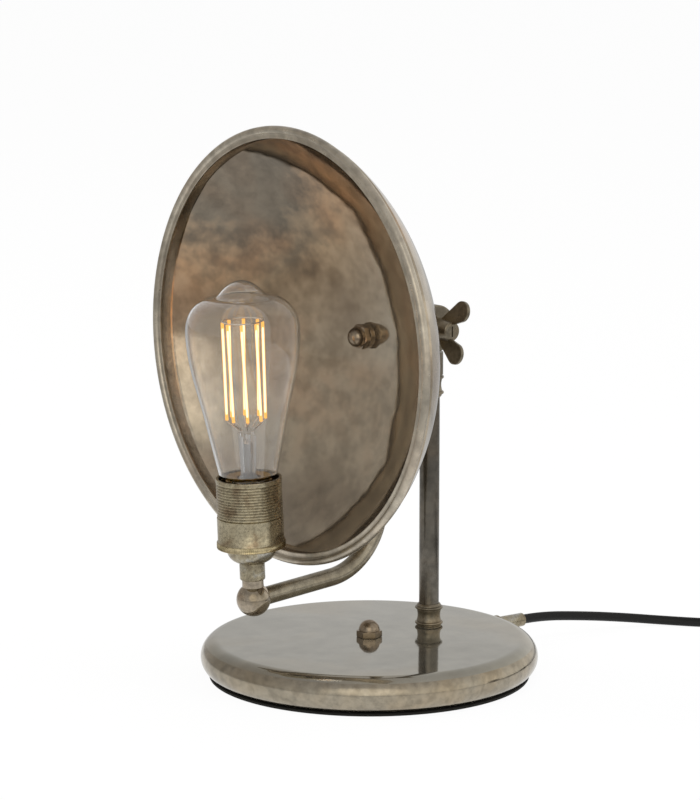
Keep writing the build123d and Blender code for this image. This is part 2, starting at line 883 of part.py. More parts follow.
nut_seat = washer_seat + dish_washer_thickness
dish_cap_nut = domed_nut(seat(pivot + forward * nut_seat, forward))
save(dish_cap_nut, "dish_cap_nut")

with BuildPart() as head_nipple:
    with BuildSketch(seat(pivot + forward * head_nipple_start, forward)):
        Circle(head_nipple_radius)
        Circle(head_nipple_bore, mode=Mode.SUBTRACT)
    extrude(amount=nut_seat + nut_hex_height - head_nipple_start)
    with BuildSketch(seat(hub_centre, -head_up)):
        Rectangle(2 * nipple_window_half_width, nipple_window_length)
    extrude(amount=hub_radius, mode=Mode.SUBTRACT)
save(head_nipple, "head_nipple")

# ------------------------------------------------------------------ arm and lampholder
with BuildPart() as arm_tube:
    with BuildLine():
        arm_line = FilletPolyline(
            hub_centre - head_up * arm_seat,
            arm_corner,
            elbow_centre - arm_heading * arm_seat,
            radius=arm_bend_radius,
        )
    with BuildSketch(seat(hub_centre - head_up * arm_seat, -head_up)):
        Circle(arm_diameter / 2)
        Circle(arm_diameter / 2 - arm_wall, mode=Mode.SUBTRACT)
    sweep(path=arm_line)
save(arm_tube, "arm_tube")

holder_section = section(elbow_centre, holder_up)


def along_holder(distance):
    """The plane square to the lampholder's axis at this distance from the elbow's middle."""
    return seat(elbow_centre + holder_up * distance, holder_up)


with BuildPart() as elbow_ball:
    with BuildSketch(holder_section):
        with BuildLine():
            neck_foot = sqrt(elbow_radius**2 - elbow_neck_radius**2)
            ThreePointArc(
                (0, -elbow_radius),
                (elbow_radius, 0),
                (elbow_neck_radius, neck_foot),
            )
            Polyline(
                (elbow_neck_radius, neck_foot),
                (elbow_neck_radius, elbow_neck_end),
                (elbow_spigot_radius, elbow_neck_end),
                (elbow_spigot_radius, elbow_spigot_end),
                (0, elbow_spigot_end),
                (0, -elbow_radius),
            )
        make_face()
    spin(holder_section)
    with BuildSketch(along_holder(0)):
        Circle(elbow_spigot_bore)
    extrude(amount=elbow_spigot_end, mode=Mode.SUBTRACT)
    with BuildSketch(seat(elbow_centre, -arm_heading)):
        Circle(wire_passage_radius)
    extrude(amount=arm_seat, mode=Mode.SUBTRACT)
    with BuildSketch(seat(elbow_centre - arm_heading * arm_seat, -arm_heading)):
        Circle(arm_diameter / 2 + slip_gap)
    extrude(amount=elbow_radius, mode=Mode.SUBTRACT)
save(elbow_ball, "elbow_ball")

spigot_hole = elbow_spigot_radius + slip_gap
holder_sleeve = turned(
    holder_section,
    (spigot_hole, elbow_neck_end),
    (sleeve_radius - sleeve_chamfer, elbow_neck_end),
    (sleeve_radius, elbow_neck_end + sleeve_chamfer),
    (sleeve_radius, cap_start - sleeve_chamfer),
    (sleeve_radius - sleeve_chamfer, cap_start),
    (spigot_hole, cap_start),
)
save(holder_sleeve, "holder_sleeve")


with BuildPart() as holder_cap:
    with BuildSketch(holder_section):
        with BuildLine():
            Line((spigot_hole, cap_start), (cap_start_radius, cap_start))
            ThreePointArc((cap_start_radius, cap_start), cap_belly, (cap_end_radius, cap_end))
            Polyline(
                (cap_end_radius, cap_end),
                (cap_neck_radius, cap_end),
                (cap_neck_radius, cap_end + cap_neck_length),
                (cap_neck_radius - cap_wall, cap_end + cap_neck_length),
                (cap_neck_radius - cap_wall, cap_end),
            )
            ThreePointArc(
                (cap_neck_radius - cap_wall, cap_end),
                (cap_belly[0] - cap_wall, cap_belly[1] + cap_wall),
                (cap_start_radius - cap_wall, cap_start + cap_wall),
            )
            Polyline(
                (cap_start_radius - cap_wall, cap_start + cap_wall),
                (spigot_hole, cap_start + cap_wall),
                (spigot_hole, cap_start),
            )
        make_face()
    spin(holder_section)
save(holder_cap, "holder_cap")

holder_ring = turned(
    holder_section,
    (cap_neck_radius + slip_gap, cap_end),
    (knurl_radius - knurl_chamfer, cap_end),
    (knurl_radius, cap_end + knurl_chamfer),
    (knurl_radius, knurl_top - knurl_chamfer),
    (knurl_radius - knurl_chamfer, knurl_top),
    (cap_neck_radius + slip_gap, knurl_top),
)
save(holder_ring, "holder_ring")

thread_start = knurl_top + band_height
thread_end = thread_start + thread_count * thread_pitch
shell_top = thread_end + shell_rim_height
thread_profile = []
for turn in range(thread_count):
    thread_profile.append((thread_root, thread_start + (turn + 0.25) * thread_pitch))
    thread_profile.append((thread_crest, thread_start + (turn + 0.75) * thread_pitch))

holder_shell = turned(
    holder_section,
    (shell_inner_radius, knurl_top),
    (shell_foot_radius, knurl_top),
    (shell_radius, knurl_top + 2 * knurl_chamfer),
    (shell_radius, thread_start),
    *thread_profile,
    (thread_crest, shell_top),
    (shell_inner_radius, shell_top),
)
save(holder_shell, "holder_shell")

recess_floor = insert_top - insert_recess_depth
holder_insert = turned(
    holder_section,
    (rivet_radius + slip_gap, knurl_top - insert_boss_depth),
    (insert_boss_radius, knurl_top - insert_boss_depth),
    (insert_boss_radius, knurl_top),
    (insert_radius, knurl_top),
    (insert_radius, insert_top),
    (insert_recess_radius, insert_top),
    (insert_recess_radius, recess_floor),
    (rivet_radius + slip_gap, recess_floor),
)
save(holder_insert, "holder_insert")

holder_contact_shell = round_tube(
    along_holder(insert_top),
    contact_shell_outer,
    contact_shell_inner,
    contact_shell_height,
)
save(holder_contact_shell, "holder_contact_shell")

holder_centre_contact = turned(
    holder_section,
    (0, knurl_top - insert_boss_depth),
    (rivet_radius, knurl_top - insert_boss_depth),
    (rivet_radius, recess_floor),
    (centre_contact_radius, recess_floor),
    (centre_contact_radius, contact_top),
    (0, contact_top),
)
save(holder_centre_contact, "holder_centre_contact")

# ------------------------------------------------------------------ bulb
bulb_tip_contact = turned(
    holder_section,
    (0, bulb_start),
    (bulb_tip_radius / 2, bulb_start),
    (bulb_tip_radius, insulator_start),
    (0, insulator_start),
)
save(bulb_tip_contact, "bulb_tip_contact")

insulator_top_radius = cap_bore_radius - slip_gap * 2
bulb_insulator = turned(
    holder_section,
    (0, insulator_start),
    (insulator_foot_radius, insulator_start),
    (insulator_top_radius, cap_foot),
    (0, cap_foot),
)
save(bulb_insulator, "bulb_insulator")

cap_profile = [(insulator_top_radius - glass_wall, cap_foot), (cap_bore_radius, cap_foot)]
screw_start = cap_top - cap_collar_height - cap_screw_turns * cap_screw_pitch
for turn in range(cap_screw_turns):
    cap_profile.append((cap_screw_root, screw_start + (turn + 0.1) * cap_screw_pitch))
    cap_profile.append((cap_screw_radius, screw_start + (turn + 0.45) * cap_screw_pitch))
    cap_profile.append((cap_screw_radius, screw_start + (turn + 0.65) * cap_screw_pitch))

bulb_cap = turned(
    holder_section,
    *cap_profile,
    (cap_screw_root, cap_top - cap_collar_height),
    (cap_collar_radius, cap_top - cap_collar_height),
    (cap_collar_radius, cap_top),
    (cap_bore_radius, cap_top),
    (cap_bore_radius, cap_foot + glass_wall),
    (insulator_top_radius - glass_wall, cap_foot + glass_wall),
)
save(bulb_cap, "bulb_cap")


def glass_face(wall):
    """Half of the bulb's section, drawn this far inside its outer surface."""
    neck_foot = cap_top - glass_neck_depth
    neck = (glass_neck_radius - wall, cap_top)
    shoulder = (glass_shoulder_radius - wall, cap_top + glass_shoulder_height)
    waist = (glass_waist_radius - wall, cap_top + glass_waist_height)
    widest = (glass_radius - wall, cap_top + glass_widest_height)
    top = (glass_top_radius - wall * glass_crown_inset, cap_top + glass_top_height - wall)
    pip = (glass_pip_radius - wall * glass_pip_inset, cap_top + glass_pip_foot - wall)
    tip = (0, cap_top + glass_height - wall)
    with BuildLine() as outline:
        Line((0, neck_foot), (neck[0], neck_foot))
        Line((neck[0], neck_foot), neck)
        Spline(neck, shoulder, tangents=((0, 1), (glass_shoulder_lean, 1)))
        Spline(shoulder, waist, widest, tangents=((glass_shoulder_lean, 1), (0, 1)))
        crown = TangentArc(widest, top, tangent=(0, 1))
        Spline(top, pip, tip, tangents=(crown % 1, (-1, 0)))
        Line(tip, (0, neck_foot))
    make_face(outline.edges())


with BuildPart() as bulb_glass:
    with BuildSketch(holder_section):
        glass_face(0)
    spin(holder_section)
    with BuildSketch(holder_section):
        glass_face(glass_wall)
    revolve(
        axis=Axis(holder_section.origin, holder_section.y_dir),
        mode=Mode.SUBTRACT,
    )
save(bulb_glass, "bulb_glass")

stem_foot = cap_top - glass_neck_depth
bulb_stem = turned(
    holder_section,
    (stem_flare_radius, stem_foot),
    (stem_flare_radius, stem_foot + stem_wall),
    (stem_tube_radius + stem_wall, cap_top),
    (stem_tube_radius, cap_top + stem_wall * 4),
    (stem_tube_radius, cap_top + stem_height - stem_wall),
    (stem_tube_radius - stem_wall, cap_top + stem_height),
    (0, cap_top + stem_height),
    (0, cap_top + stem_height / 2),
    (stem_tube_radius - stem_wall, cap_top + stem_height / 2),
    (stem_tube_radius - stem_wall, cap_top),
    (stem_flare_radius - 2 * stem_wall, stem_foot),
)
save(bulb_stem, "bulb_stem")


def around_bulb(radius, height, angle):
    """A point in the bulb, from its distance to the axis, height above the cap, and angle."""
    place = along_holder(cap_top + height)
    return place.from_local_coords(
        Vector(radius * cos(radians(angle)), radius * sin(radians(angle)), 0)
    )


def rod(start, end, radius):
    """A round rod between two points, added to the part being built."""
    run = end - start
    with BuildSketch(Plane(origin=start, z_dir=run)) as rod_end:
        Circle(radius)
    extrude(rod_end.sketch, amount=run.length)


stick_angles = [stick_start_angle + 360 / stick_count * number for number in range(stick_count)]

with BuildPart() as bulb_led_sticks:
    for angle in stick_angles:
        rod(
            around_bulb(stick_foot_circle, stick_foot_height, angle),
            around_bulb(stick_top_circle, stick_top_height, angle + stick_twist),
            stick_radius,
        )
save(bulb_led_sticks, "bulb_led_sticks")

with BuildPart() as bulb_support_wires:
    with BuildSketch(holder_section):
        with Locations((stick_top_circle, cap_top + stick_top_height + 2 * support_wire_radius)):
            Circle(support_wire_radius)
    spin(holder_section)
    for angle in stick_angles:
        rod(
            around_bulb(stick_foot_circle, stick_foot_height - 2 * support_wire_radius, angle),
            around_bulb(stem_tube_radius - stem_wall, stem_height + support_wire_radius, angle),
            support_wire_radius,
        )
save(bulb_support_wires, "bulb_support_wires")

# ------------------------------------------------------------------ wires
wire_radius = wire_diameter / 2


def wire(points, radius, facing):
    """An insulated wire through these points, added to the part being built."""
    with BuildLine():
        line = FilletPolyline(*points, radius=radius)
    with BuildSketch(seat(points[0], facing)) as wire_cut:
        Circle(wire_radius)
    sweep(wire_cut.sketch, path=line)


wire_end_y = terminal_front_y
wire_low = plate_top + wire_radius + hole_gap
wire_top = pivot_height - (wire_recess_outer + wire_radius)

with BuildPart() as column_wires:
    for rank in (-1, 1):
        low = wire_low + wire_half_pitch * (1 + rank)
        y = column_y + rank * wire_half_pitch
        wire(
            [
                Vector(-wire_side, wire_end_y, low),
                Vector(-wire_side, y, low),
                Vector(-wire_side, y, wire_top),
            ],
            wire_bend_radius - wire_half_pitch * (1 + rank),
            (0, -1, 0),
        )
save(column_wires, "column_wires")

wire_start = wire_recess_outer + wire_radius
insert_foot = knurl_top - insert_boss_depth

with BuildPart() as head_wires:
    for rank in (-1, 1):
        shift = side * (wire_side + rank * wire_half_pitch)
        wire(
            [
                pivot + shift + forward * wire_start,
                hub_centre + shift,
                arm_corner + shift,
                elbow_centre + shift,
                elbow_centre + shift + holder_up * (insert_foot - hole_gap),
            ],
            [wire_bend_radius, arm_bend_radius, wire_bend_radius],
            forward,
        )
save(head_wires, "head_wires")

# ------------------------------------------------------------------ cord entry
grip_section = section((0, 0, grip_height), (0, 1, 0))
shell_outside_y = rim_centre[0] + sqrt(rim_radius**2 - (grip_height - rim_centre[1]) ** 2)
flange_back_y = shell_outside_y + grip_flange_proud
thread_front_y = shell_outside_y - grip_thread_length
nut_back_y = rim_centre[0] + sqrt(
    (rim_radius - shell_wall) ** 2 - (grip_height - rim_centre[1] + grip_nut_radius) ** 2
)

with BuildPart() as cord_grip:
    with BuildSketch(seat((0, rim_centre[0], grip_height), (0, 1, 0))):
        Circle(grip_flange_radius)
    extrude(amount=flange_back_y - rim_centre[0])
    with BuildSketch(base_section):
        with Locations(rim_centre):
            Circle(rim_radius + running_gap)
    revolve(axis=Axis.Z, mode=Mode.SUBTRACT)
    with BuildSketch(grip_section):
        Polygon(
            (grip_bore_radius, thread_front_y),
            (grip_thread_radius, thread_front_y),
            (grip_thread_radius, flange_back_y),
            (grip_body_radius, flange_back_y),
            (grip_tip_radius, grip_end_y - grip_edge),
            (grip_tip_radius - grip_edge, grip_end_y),
            (grip_bore_radius, grip_end_y),
            align=None,
        )
    spin(grip_section)
    with BuildSketch(seat((0, thread_front_y, grip_height), (0, 1, 0))):
        Circle(grip_bore_radius)
    extrude(amount=grip_end_y - thread_front_y, mode=Mode.SUBTRACT)
save(cord_grip, "cord_grip")

with BuildPart() as cord_grip_nut:
    with BuildSketch(seat((0, nut_back_y - grip_nut_height, grip_height), (0, 1, 0))):
        RegularPolygon(grip_nut_radius, 6)
        Circle(grip_thread_radius + slip_gap, mode=Mode.SUBTRACT)
    extrude(amount=grip_nut_height)
save(cord_grip_nut, "cord_grip_nut")

terminal_middle_y = terminal_front_y + terminal_size[1] / 2
clamp_middle_y = clamp_front_y + clamp_size[1] / 2
terminal_foot = pocket_top - terminal_size[2]
clamp_foot = pocket_top - clamp_size[2]


def screw_spots(middle_y, height, spacing):
    """Two places side by side, facing down, for the small screws under a pocket piece."""
    return [
        Plane(origin=(x, middle_y, height), x_dir=(1, 0, 0), z_dir=(0, 0, -1))
        for x in (-spacing / 2, spacing / 2)
    ]


def small_screws(spots, depth):
    """Cheese-head screws whose heads stand proud of the spots."""
    with BuildPart() as screws:
        with Locations(*spots):
            Cylinder(
                small_screw_head_radius,
                small_screw_head_height,
                align=(Align.CENTER, Align.CENTER, Align.MIN),
            )
            Cylinder(small_screw_radius, depth, align=below)
    return screws


def drill(spots, depth):
    """Holes for the small screws, cut from the part being built."""
    with Locations(*spots):
        Cylinder(small_screw_radius + slip_gap, depth, align=below, mode=Mode.SUBTRACT)


clamp_spots = screw_spots(clamp_middle_y, clamp_foot, clamp_screw_spacing)

with BuildPart() as terminal_block:
    with Locations((0, terminal_middle_y, pocket_top)):
        Box(*terminal_size, align=below)
    with BuildSketch(Plane.XY.offset(terminal_foot)):
        with Locations((0, terminal_middle_y)):
            with GridLocations(terminal_screw_spacing, 0, 2, 1):
                Circle(small_screw_head_radius + hole_gap)
    extrude(amount=small_screw_head_height + wire_diameter, mode=Mode.SUBTRACT)
    with BuildSketch(Plane.XY.offset(terminal_foot)):
        with Locations((0, terminal_middle_y)):
            with GridLocations(terminal_screw_spacing, 0, 2, 1):
                Circle(small_screw_radius + slip_gap)
    extrude(amount=terminal_size[2] / 2 + small_screw_head_height, mode=Mode.SUBTRACT)
save(terminal_block, "terminal_block")

screw_seat = terminal_foot + small_screw_head_height + wire_diameter
terminal_screws = small_screws(
    screw_spots(terminal_middle_y, screw_seat, terminal_screw_spacing),
    terminal_size[2] / 2 - wire_diameter - hole_gap,
)
save(terminal_screws, "terminal_screws")

with BuildPart() as cord_clamp:
    with Locations((0, clamp_middle_y, pocket_top)):
        Box(*clamp_size, align=below)
    with BuildSketch(seat((0, clamp_front_y, grip_height), (0, 1, 0))):
        Circle(cord_diameter / 2 + slip_gap)
    extrude(amount=clamp_size[1], mode=Mode.SUBTRACT)
    drill(clamp_spots, clamp_size[2])
save(cord_clamp, "cord_clamp")

clamp_screws = small_screws(clamp_spots, clamp_size[2] + small_screw_head_height - hole_gap)
save(clamp_screws, "clamp_screws")

cord_start_y = grip_end_y - cord_set_in
cord_radius = cord_diameter / 2
bend_share = 0.45  # of the shorter run beside a corner, taken up by the bend
inner_end_y = terminal_front_y + terminal_size[1] + hole_gap
cord_inner_end = round_tube(
    seat((0, inner_end_y, grip_height), (0, 1, 0)), cord_radius, 0, cord_start_y - inner_end_y
)
save(cord_inner_end, "cord_inner_end")

# ------------------------------------------------------------------ free cord
floor_cord = cord_radius + floor_clearance
heading = Vector(cos(radians(switch_heading)), sin(radians(switch_heading)), 0)
switch_entry = Vector(*switch_start, switch_half_height)
switch_exit = switch_entry + heading * (switch_length + 2 * cord_end_gap)
switch_middle = Vector(*switch_start, 0) + heading * (switch_length / 2 + cord_end_gap)


def cord_tube(points, facing):
    """A length of the free cord: straight runs joined by tangent arcs."""
    points = [Vector(point) for point in points]
    runs = [after - before for before, after in zip(points, points[1:])]
    radii = []
    for run, following in zip(runs, runs[1:]):
        half_turn = radians(run.get_angle(following) / 2)
        radii.append(bend_share * min(run.length, following.length) / tan(half_turn))
    with BuildPart() as tube:
        with BuildLine():
            if radii:
                line = FilletPolyline(*points, radius=radii)
            else:
                line = Line(*points)
        with BuildSketch(Plane(origin=points[0], z_dir=facing)):
            Circle(cord_radius)
        sweep(path=line)
    expected = pi * cord_radius**2 * line.length
    print("runs", [round(run.length, 1) for run in runs], "radii", [round(r, 1) for r in radii])
    print("length", round(line.length, 2), "volume", tube.part.volume, "expected", expected)
    return tube


first_route = [
    (0, cord_start_y, grip_height),
    (0, 134, 13.4),
    (6.5, 163, 10.2),
    (13, 190, 6.2),
    (24, 213, floor_cord),
    (50, 232, floor_cord),
    (66, 241.3, 5.5),
    tuple(switch_entry),
]
cord_to_switch = cord_tube(first_route, (0, 1, 0))
save(cord_to_switch, "cord_to_switch")

# The coil is wound clockwise in two layers. The cord meets it along a tangent on one side and
# leaves it along a tangent on the other, and the tubes stop where they reach its outside.
coil_outer = coil_outer_turn + cord_radius
coil_inner = coil_inner_turn - cord_radius
tangent_stop = sqrt(coil_outer**2 - (coil_outer_turn - cord_radius) ** 2) + hole_gap
coil_height = 4 * cord_radius

cord_coil = round_tube(
    Plane(origin=(*coil_centre, floor_clearance)), coil_outer, coil_inner, coil_height
)
save(cord_coil, "cord_coil")

coil_side = Vector(-heading.Y, heading.X, 0)
coil_entry = Vector(*coil_centre, floor_cord) + coil_side * coil_outer_turn
entry_stop = coil_entry - heading * tangent_stop + up * cord_radius
cord_after_switch = cord_tube([switch_exit, entry_stop], entry_stop - switch_exit)
save(cord_after_switch, "cord_after_switch")

plug_height = plug_radius + floor_clearance
coil_exit = Vector(plug_heading_x, coil_centre[1] - tangent_stop, coil_exit_height)
last_route = [
    coil_exit,
    (plug_heading_x + 0.3, (coil_exit.Y + plug_back_y) / 2, plug_height - 2),
    (plug_heading_x, plug_back_y + cord_end_gap, plug_height),
]
cord_to_plug = cord_tube(last_route, Vector(last_route[1]) - coil_exit)
save(cord_to_plug, "cord_to_plug")

# ------------------------------------------------------------------ switch on the cord
switch_foot = Plane(origin=switch_middle, x_dir=heading, z_dir=up)
switch_split = switch_foot.offset(switch_half_height)
rocker_axis_place = switch_middle + up * rocker_pivot_height
rocker_side = Plane(origin=rocker_axis_place, x_dir=heading, z_dir=up.cross(heading) * -1)
screw_x, screw_y = switch_screw_place
screw_corners = [(screw_x, -screw_y), (-screw_x, screw_y)]
riser_places = [(-rocker_radius / 2, 0), (rocker_radius / 2, 0)]

with BuildPart() as switch_lower_shell:
    with BuildSketch(switch_foot):
        SlotOverall(switch_length, switch_width)
    extrude(amount=switch_half_height)
    fillet(switch_lower_shell.faces().sort_by(Axis.Z)[0].edges(), switch_edge / 2)
    with BuildSketch(switch_split):
        Rectangle(*switch_cavity)
    extrude(amount=switch_floor - switch_half_height, mode=Mode.SUBTRACT)
    with BuildSketch(switch_foot):
        with Locations(*screw_corners):
            Circle(small_screw_radius + slip_gap)
    extrude(amount=switch_half_height, mode=Mode.SUBTRACT)
    with BuildSketch(switch_foot):
        with Locations(*screw_corners):
            Circle(small_screw_head_radius + slip_gap)
    extrude(amount=small_screw_head_height + switch_floor, mode=Mode.SUBTRACT)
save(switch_lower_shell, "switch_lower_shell")

opening_half = rocker_radius + rocker_gap
with BuildPart() as switch_upper_shell:
    with BuildSketch(switch_split):
        SlotOverall(switch_length, switch_width)
    extrude(amount=switch_half_height)
    fillet(switch_upper_shell.faces().sort_by(Axis.Z)[-1].edges(), switch_edge)
    with BuildSketch(switch_split):
        Rectangle(2 * opening_half, rocker_width + 2 * rocker_gap)
    extrude(amount=switch_half_height, mode=Mode.SUBTRACT)
    with BuildSketch(rocker_side):
        Circle(rocker_axle_radius + slip_gap)
    extrude(amount=rocker_axle_half + rocker_gap, both=True, mode=Mode.SUBTRACT)
    with BuildSketch(switch_split):
        with Locations(*screw_corners):
            Circle(small_screw_radius + slip_gap)
    extrude(amount=switch_half_height / 2, mode=Mode.SUBTRACT)
save(switch_upper_shell, "switch_upper_shell")

screw_foot = switch_floor + small_screw_head_height
with BuildPart() as switch_screws:
    with BuildSketch(switch_foot.offset(switch_floor)):
        with Locations(*screw_corners):
            Circle(small_screw_head_radius)
    extrude(amount=small_screw_head_height)
    with BuildSketch(switch_foot.offset(screw_foot)):
        with Locations(*screw_corners):
            Circle(small_screw_radius)
    extrude(amount=switch_half_height * 1.5 - screw_foot - hole_gap)
save(switch_screws, "switch_screws")

with BuildPart() as switch_contacts:
    with BuildSketch(switch_foot.offset(switch_floor)):
        with Locations(*riser_places):
            Rectangle(contact_strip[0], contact_strip[1])
    extrude(amount=contact_strip[2])
    with BuildSketch(switch_foot.offset(switch_floor)):
        with Locations(*riser_places):
            Rectangle(contact_strip[2], contact_strip[1])
    extrude(amount=contact_riser_height)
save(switch_contacts, "switch_contacts")

rise = radians(rocker_rise)
edge_x = rocker_radius * 1.2
with BuildPart() as switch_rocker:
    with BuildSketch(rocker_side):
        Circle(rocker_radius)
        Polygon(
            (-edge_x, -rocker_under),
            (edge_x, -rocker_under),
            (edge_x, rocker_ridge + edge_x * tan(rise)),
            (0, rocker_ridge),
            (-edge_x, rocker_ridge + edge_x * tan(rise)),
            align=None,
            mode=Mode.INTERSECT,
        )
    extrude(amount=rocker_width / 2, both=True)
    with BuildSketch(rocker_side):
        Circle(rocker_axle_radius)
    extrude(amount=rocker_axle_half, both=True)
rocker_axis = Axis(rocker_axis_place, rocker_side.z_dir)
switch_rocker.part = switch_rocker.part.rotate(rocker_axis, rocker_rise)
save(switch_rocker, "switch_rocker")

# ------------------------------------------------------------------ plug
plug_section = section((plug_heading_x, plug_back_y, plug_height), (0, -1, 0))
plug_front_y = plug_back_y - plug_length
plug_pin_places = [(plug_heading_x + step * pin_spacing / 2, plug_height) for step in (-1, 1)]

with BuildPart() as plug_body:
    with BuildSketch(plug_section):
        with BuildLine():
            Polyline(
                (0, 0),
                (plug_neck_radius, 0),
                (plug_sleeve_radius, plug_sleeve_end),
            )
            Spline(
                (plug_sleeve_radius, plug_sleeve_end),
                plug_flare,
                (plug_radius, plug_grip_start),
                tangents=((plug_flare_lean, 1), (0, 1)),
            )
            Polyline(
                (plug_radius, plug_grip_start),
                (plug_radius, plug_length - plug_edge),
                (plug_radius - plug_edge, plug_length),
                (0, plug_length),
                (0, 0),
            )
        make_face()
    spin(plug_section)
    with BuildSketch(Plane.XZ.offset(-plug_front_y)):
        with Locations(*plug_pin_places):
            Circle(pin_root_radius + slip_gap)
    extrude(amount=-pin_root, mode=Mode.SUBTRACT)
save(plug_body, "plug_body")

with BuildPart() as plug_pins:
    with BuildSketch(Plane.XZ.offset(-plug_front_y)):
        with Locations(*plug_pin_places):
            Circle(pin_radius)
    extrude(amount=pin_length)
    with BuildSketch(Plane.XZ.offset(-plug_front_y)):
        with Locations(*plug_pin_places):
            Circle(pin_root_radius)
    extrude(amount=-pin_root)
save(plug_pins, "plug_pins")
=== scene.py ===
"""Tabletop searchlight lamp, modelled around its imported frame.

Every piece is drawn in millimetres about its own axis, then placed in metres where the frame says.
"""

import json
from math import atan2, cos, degrees, pi, radians, sin, sqrt, tan

import bmesh
import bpy
from bpy.props import FloatProperty, FloatVectorProperty, IntProperty, PointerProperty
from mathutils import Matrix, Vector


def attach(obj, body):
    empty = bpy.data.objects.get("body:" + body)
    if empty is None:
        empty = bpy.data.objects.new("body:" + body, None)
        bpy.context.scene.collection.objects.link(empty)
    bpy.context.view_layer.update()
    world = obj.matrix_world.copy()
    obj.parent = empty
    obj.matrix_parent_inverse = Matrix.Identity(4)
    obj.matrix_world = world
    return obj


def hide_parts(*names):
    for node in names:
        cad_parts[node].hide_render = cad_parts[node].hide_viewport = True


bl_info = {
    "name": "Tabletop searchlight lamp",
    "version": (1, 0, 0),
    "blender": (4, 5, 0),
    "location": "View3D > Sidebar > Lamp",
    "description": "Builds a searchlight table lamp around its packed frame",
    "category": "Add Mesh",
}

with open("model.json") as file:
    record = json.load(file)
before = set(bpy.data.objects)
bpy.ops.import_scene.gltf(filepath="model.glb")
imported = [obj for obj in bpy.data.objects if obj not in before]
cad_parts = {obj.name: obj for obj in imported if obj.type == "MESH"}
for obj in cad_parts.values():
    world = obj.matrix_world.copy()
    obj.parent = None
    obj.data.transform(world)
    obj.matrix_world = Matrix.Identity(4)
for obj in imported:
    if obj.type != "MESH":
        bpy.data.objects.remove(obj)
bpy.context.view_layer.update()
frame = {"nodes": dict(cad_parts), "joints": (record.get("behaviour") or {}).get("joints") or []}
joints = {joint["name"]: joint for joint in frame["joints"]}

MM = 0.001
SIDE = Vector((1, 0, 0))
UP = Vector((0, 0, 1))
WHITE = (1, 1, 1, 1)
# The head leans a touch at rest.
HEAD_TILT = radians(0.1)
FORWARD = Vector((0, -cos(HEAD_TILT), sin(HEAD_TILT)))
HEAD_UP = Vector((0, sin(HEAD_TILT), cos(HEAD_TILT)))
PIVOT = Vector(joints["head_tilt"]["pos_m"])
ELBOW = Vector(joints["bulb_turn"]["pos_m"])
HOLDER_UP = Vector(joints["bulb_turn"]["axis"]).normalized()
COLUMN = Vector((0, PIVOT.y, 0))
# In millimetres: from the pivot to the middle of the hub, and from the elbow to the bulb's foot.
HUB = 38.09
CAP_TOP = 69.3


# ---- sizes and colours


def linear(code):
    """An sRGB hex colour as linear red, green, blue and alpha."""
    channels = [int(code[place : place + 2], 16) / 255 for place in (1, 3, 5)]
    low = [c / 12.92 if c <= 0.04045 else ((c + 0.055) / 1.055) ** 2.4 for c in channels]
    return (*low, 1.0)


def length(name, description, millimetres):
    """A length that a user may change."""
    return FloatProperty(
        name=name, description=description, default=millimetres * MM, unit="LENGTH", precision=4
    )


def colour(name, description, value):
    """A colour that a user may change."""
    return FloatVectorProperty(
        name=name, description=description, default=linear(value), size=4, subtype="COLOR"
    )


class LampSizes(bpy.types.PropertyGroup):
    """Sizes of the lamp's pieces."""

    base_radius: length("Base radius", "Over the rolled rim", 97.9)
    base_height: length("Base height", "From the floor to the flat top", 22.2)
    column_radius: length("Column radius", "Outside of the upright tube", 5.85)
    dish_radius: length("Dish radius", "Outside of the spun dish", 121.2)
    dish_depth: length("Dish depth", "From the back of the dish to its rolled edge", 54.95)
    arm_radius: length("Arm radius", "Outside of the bent arm", 5.15)
    ball_radius: length("Ball radius", "The ball at the elbow", 9.67)
    holder_radius: length("Lampholder radius", "Outside of the plain band", 18.7)
    bulb_radius: length("Bulb radius", "At its widest", 32.0)
    cord_diameter: length("Cord diameter", "Over the sheath", 5.6)
    knurls: IntProperty(
        name="Knurls", description="Ridges around the lampholder's ring", default=110, min=20
    )


class LampColours(bpy.types.PropertyGroup):
    """Colours of the lamp's finishes."""

    nickel: colour("Nickel", "Aged nickel of the dish", "#bdb09b")
    nickel_dark: colour("Dark nickel", "Darker patina of the dish", "#a09381")
    nickel_warm: colour("Warm nickel", "Where the copper shows through", "#c2aa90")
    bronze: colour("Bronze", "Darkened steel tube", "#726d64")
    brass: colour("Brass", "Aged brass of the lampholder", "#aaa087")
    cord: colour("Cord", "Sheath of the cord", "#0c0c0b")
    glow: colour("Glow", "Light of the phosphor on the filaments", "#ffb247")


# ---- mesh tools


def standing(origin, along, across=SIDE):
    """Places a shape drawn in millimetres: its z axis points along, its x axis near across."""
    z = Vector(along).normalized()
    x = (Vector(across) - z * z.dot(Vector(across))).normalized()
    place = Matrix((x, z.cross(x), z)).transposed().to_4x4()
    place.translation = origin
    return place @ Matrix.Scale(MM, 4)


def arc(radius, height, turn, step=5):
    """An arc of a profile about this centre; a positive turn goes anticlockwise."""
    return ("arc", radius, height, turn, step)


def draw(bm, path):
    """Draws a wire in the XZ plane: arcs, and points that may have a rounded corner."""
    last, corners = None, []
    for step in path:
        if step[0] == "arc":
            swept = bmesh.ops.spin(
                bm, geom=[last], cent=(step[1], 0, step[2]), axis=(0, -1, 0),
                angle=radians(step[3]), steps=max(3, round(abs(step[3]) / step[4])),
            )
            last = new_verts(swept["geom_last"])[0]
            continue
        point = bm.verts.new((step[0], 0, step[1]))
        if last is not None:
            bm.edges.new((last, point))
        if len(step) == 3:
            corners.append((point, step[2]))
        last = point
    for point, size in corners:
        soften(bm, [point], size, "VERTICES", 4)


def soften(bm, geom, size, affect, segments):
    """Rounds corners or edges."""
    bmesh.ops.bevel(
        bm, geom=geom, offset=size, affect=affect, segments=segments, profile=0.5, material=-1
    )


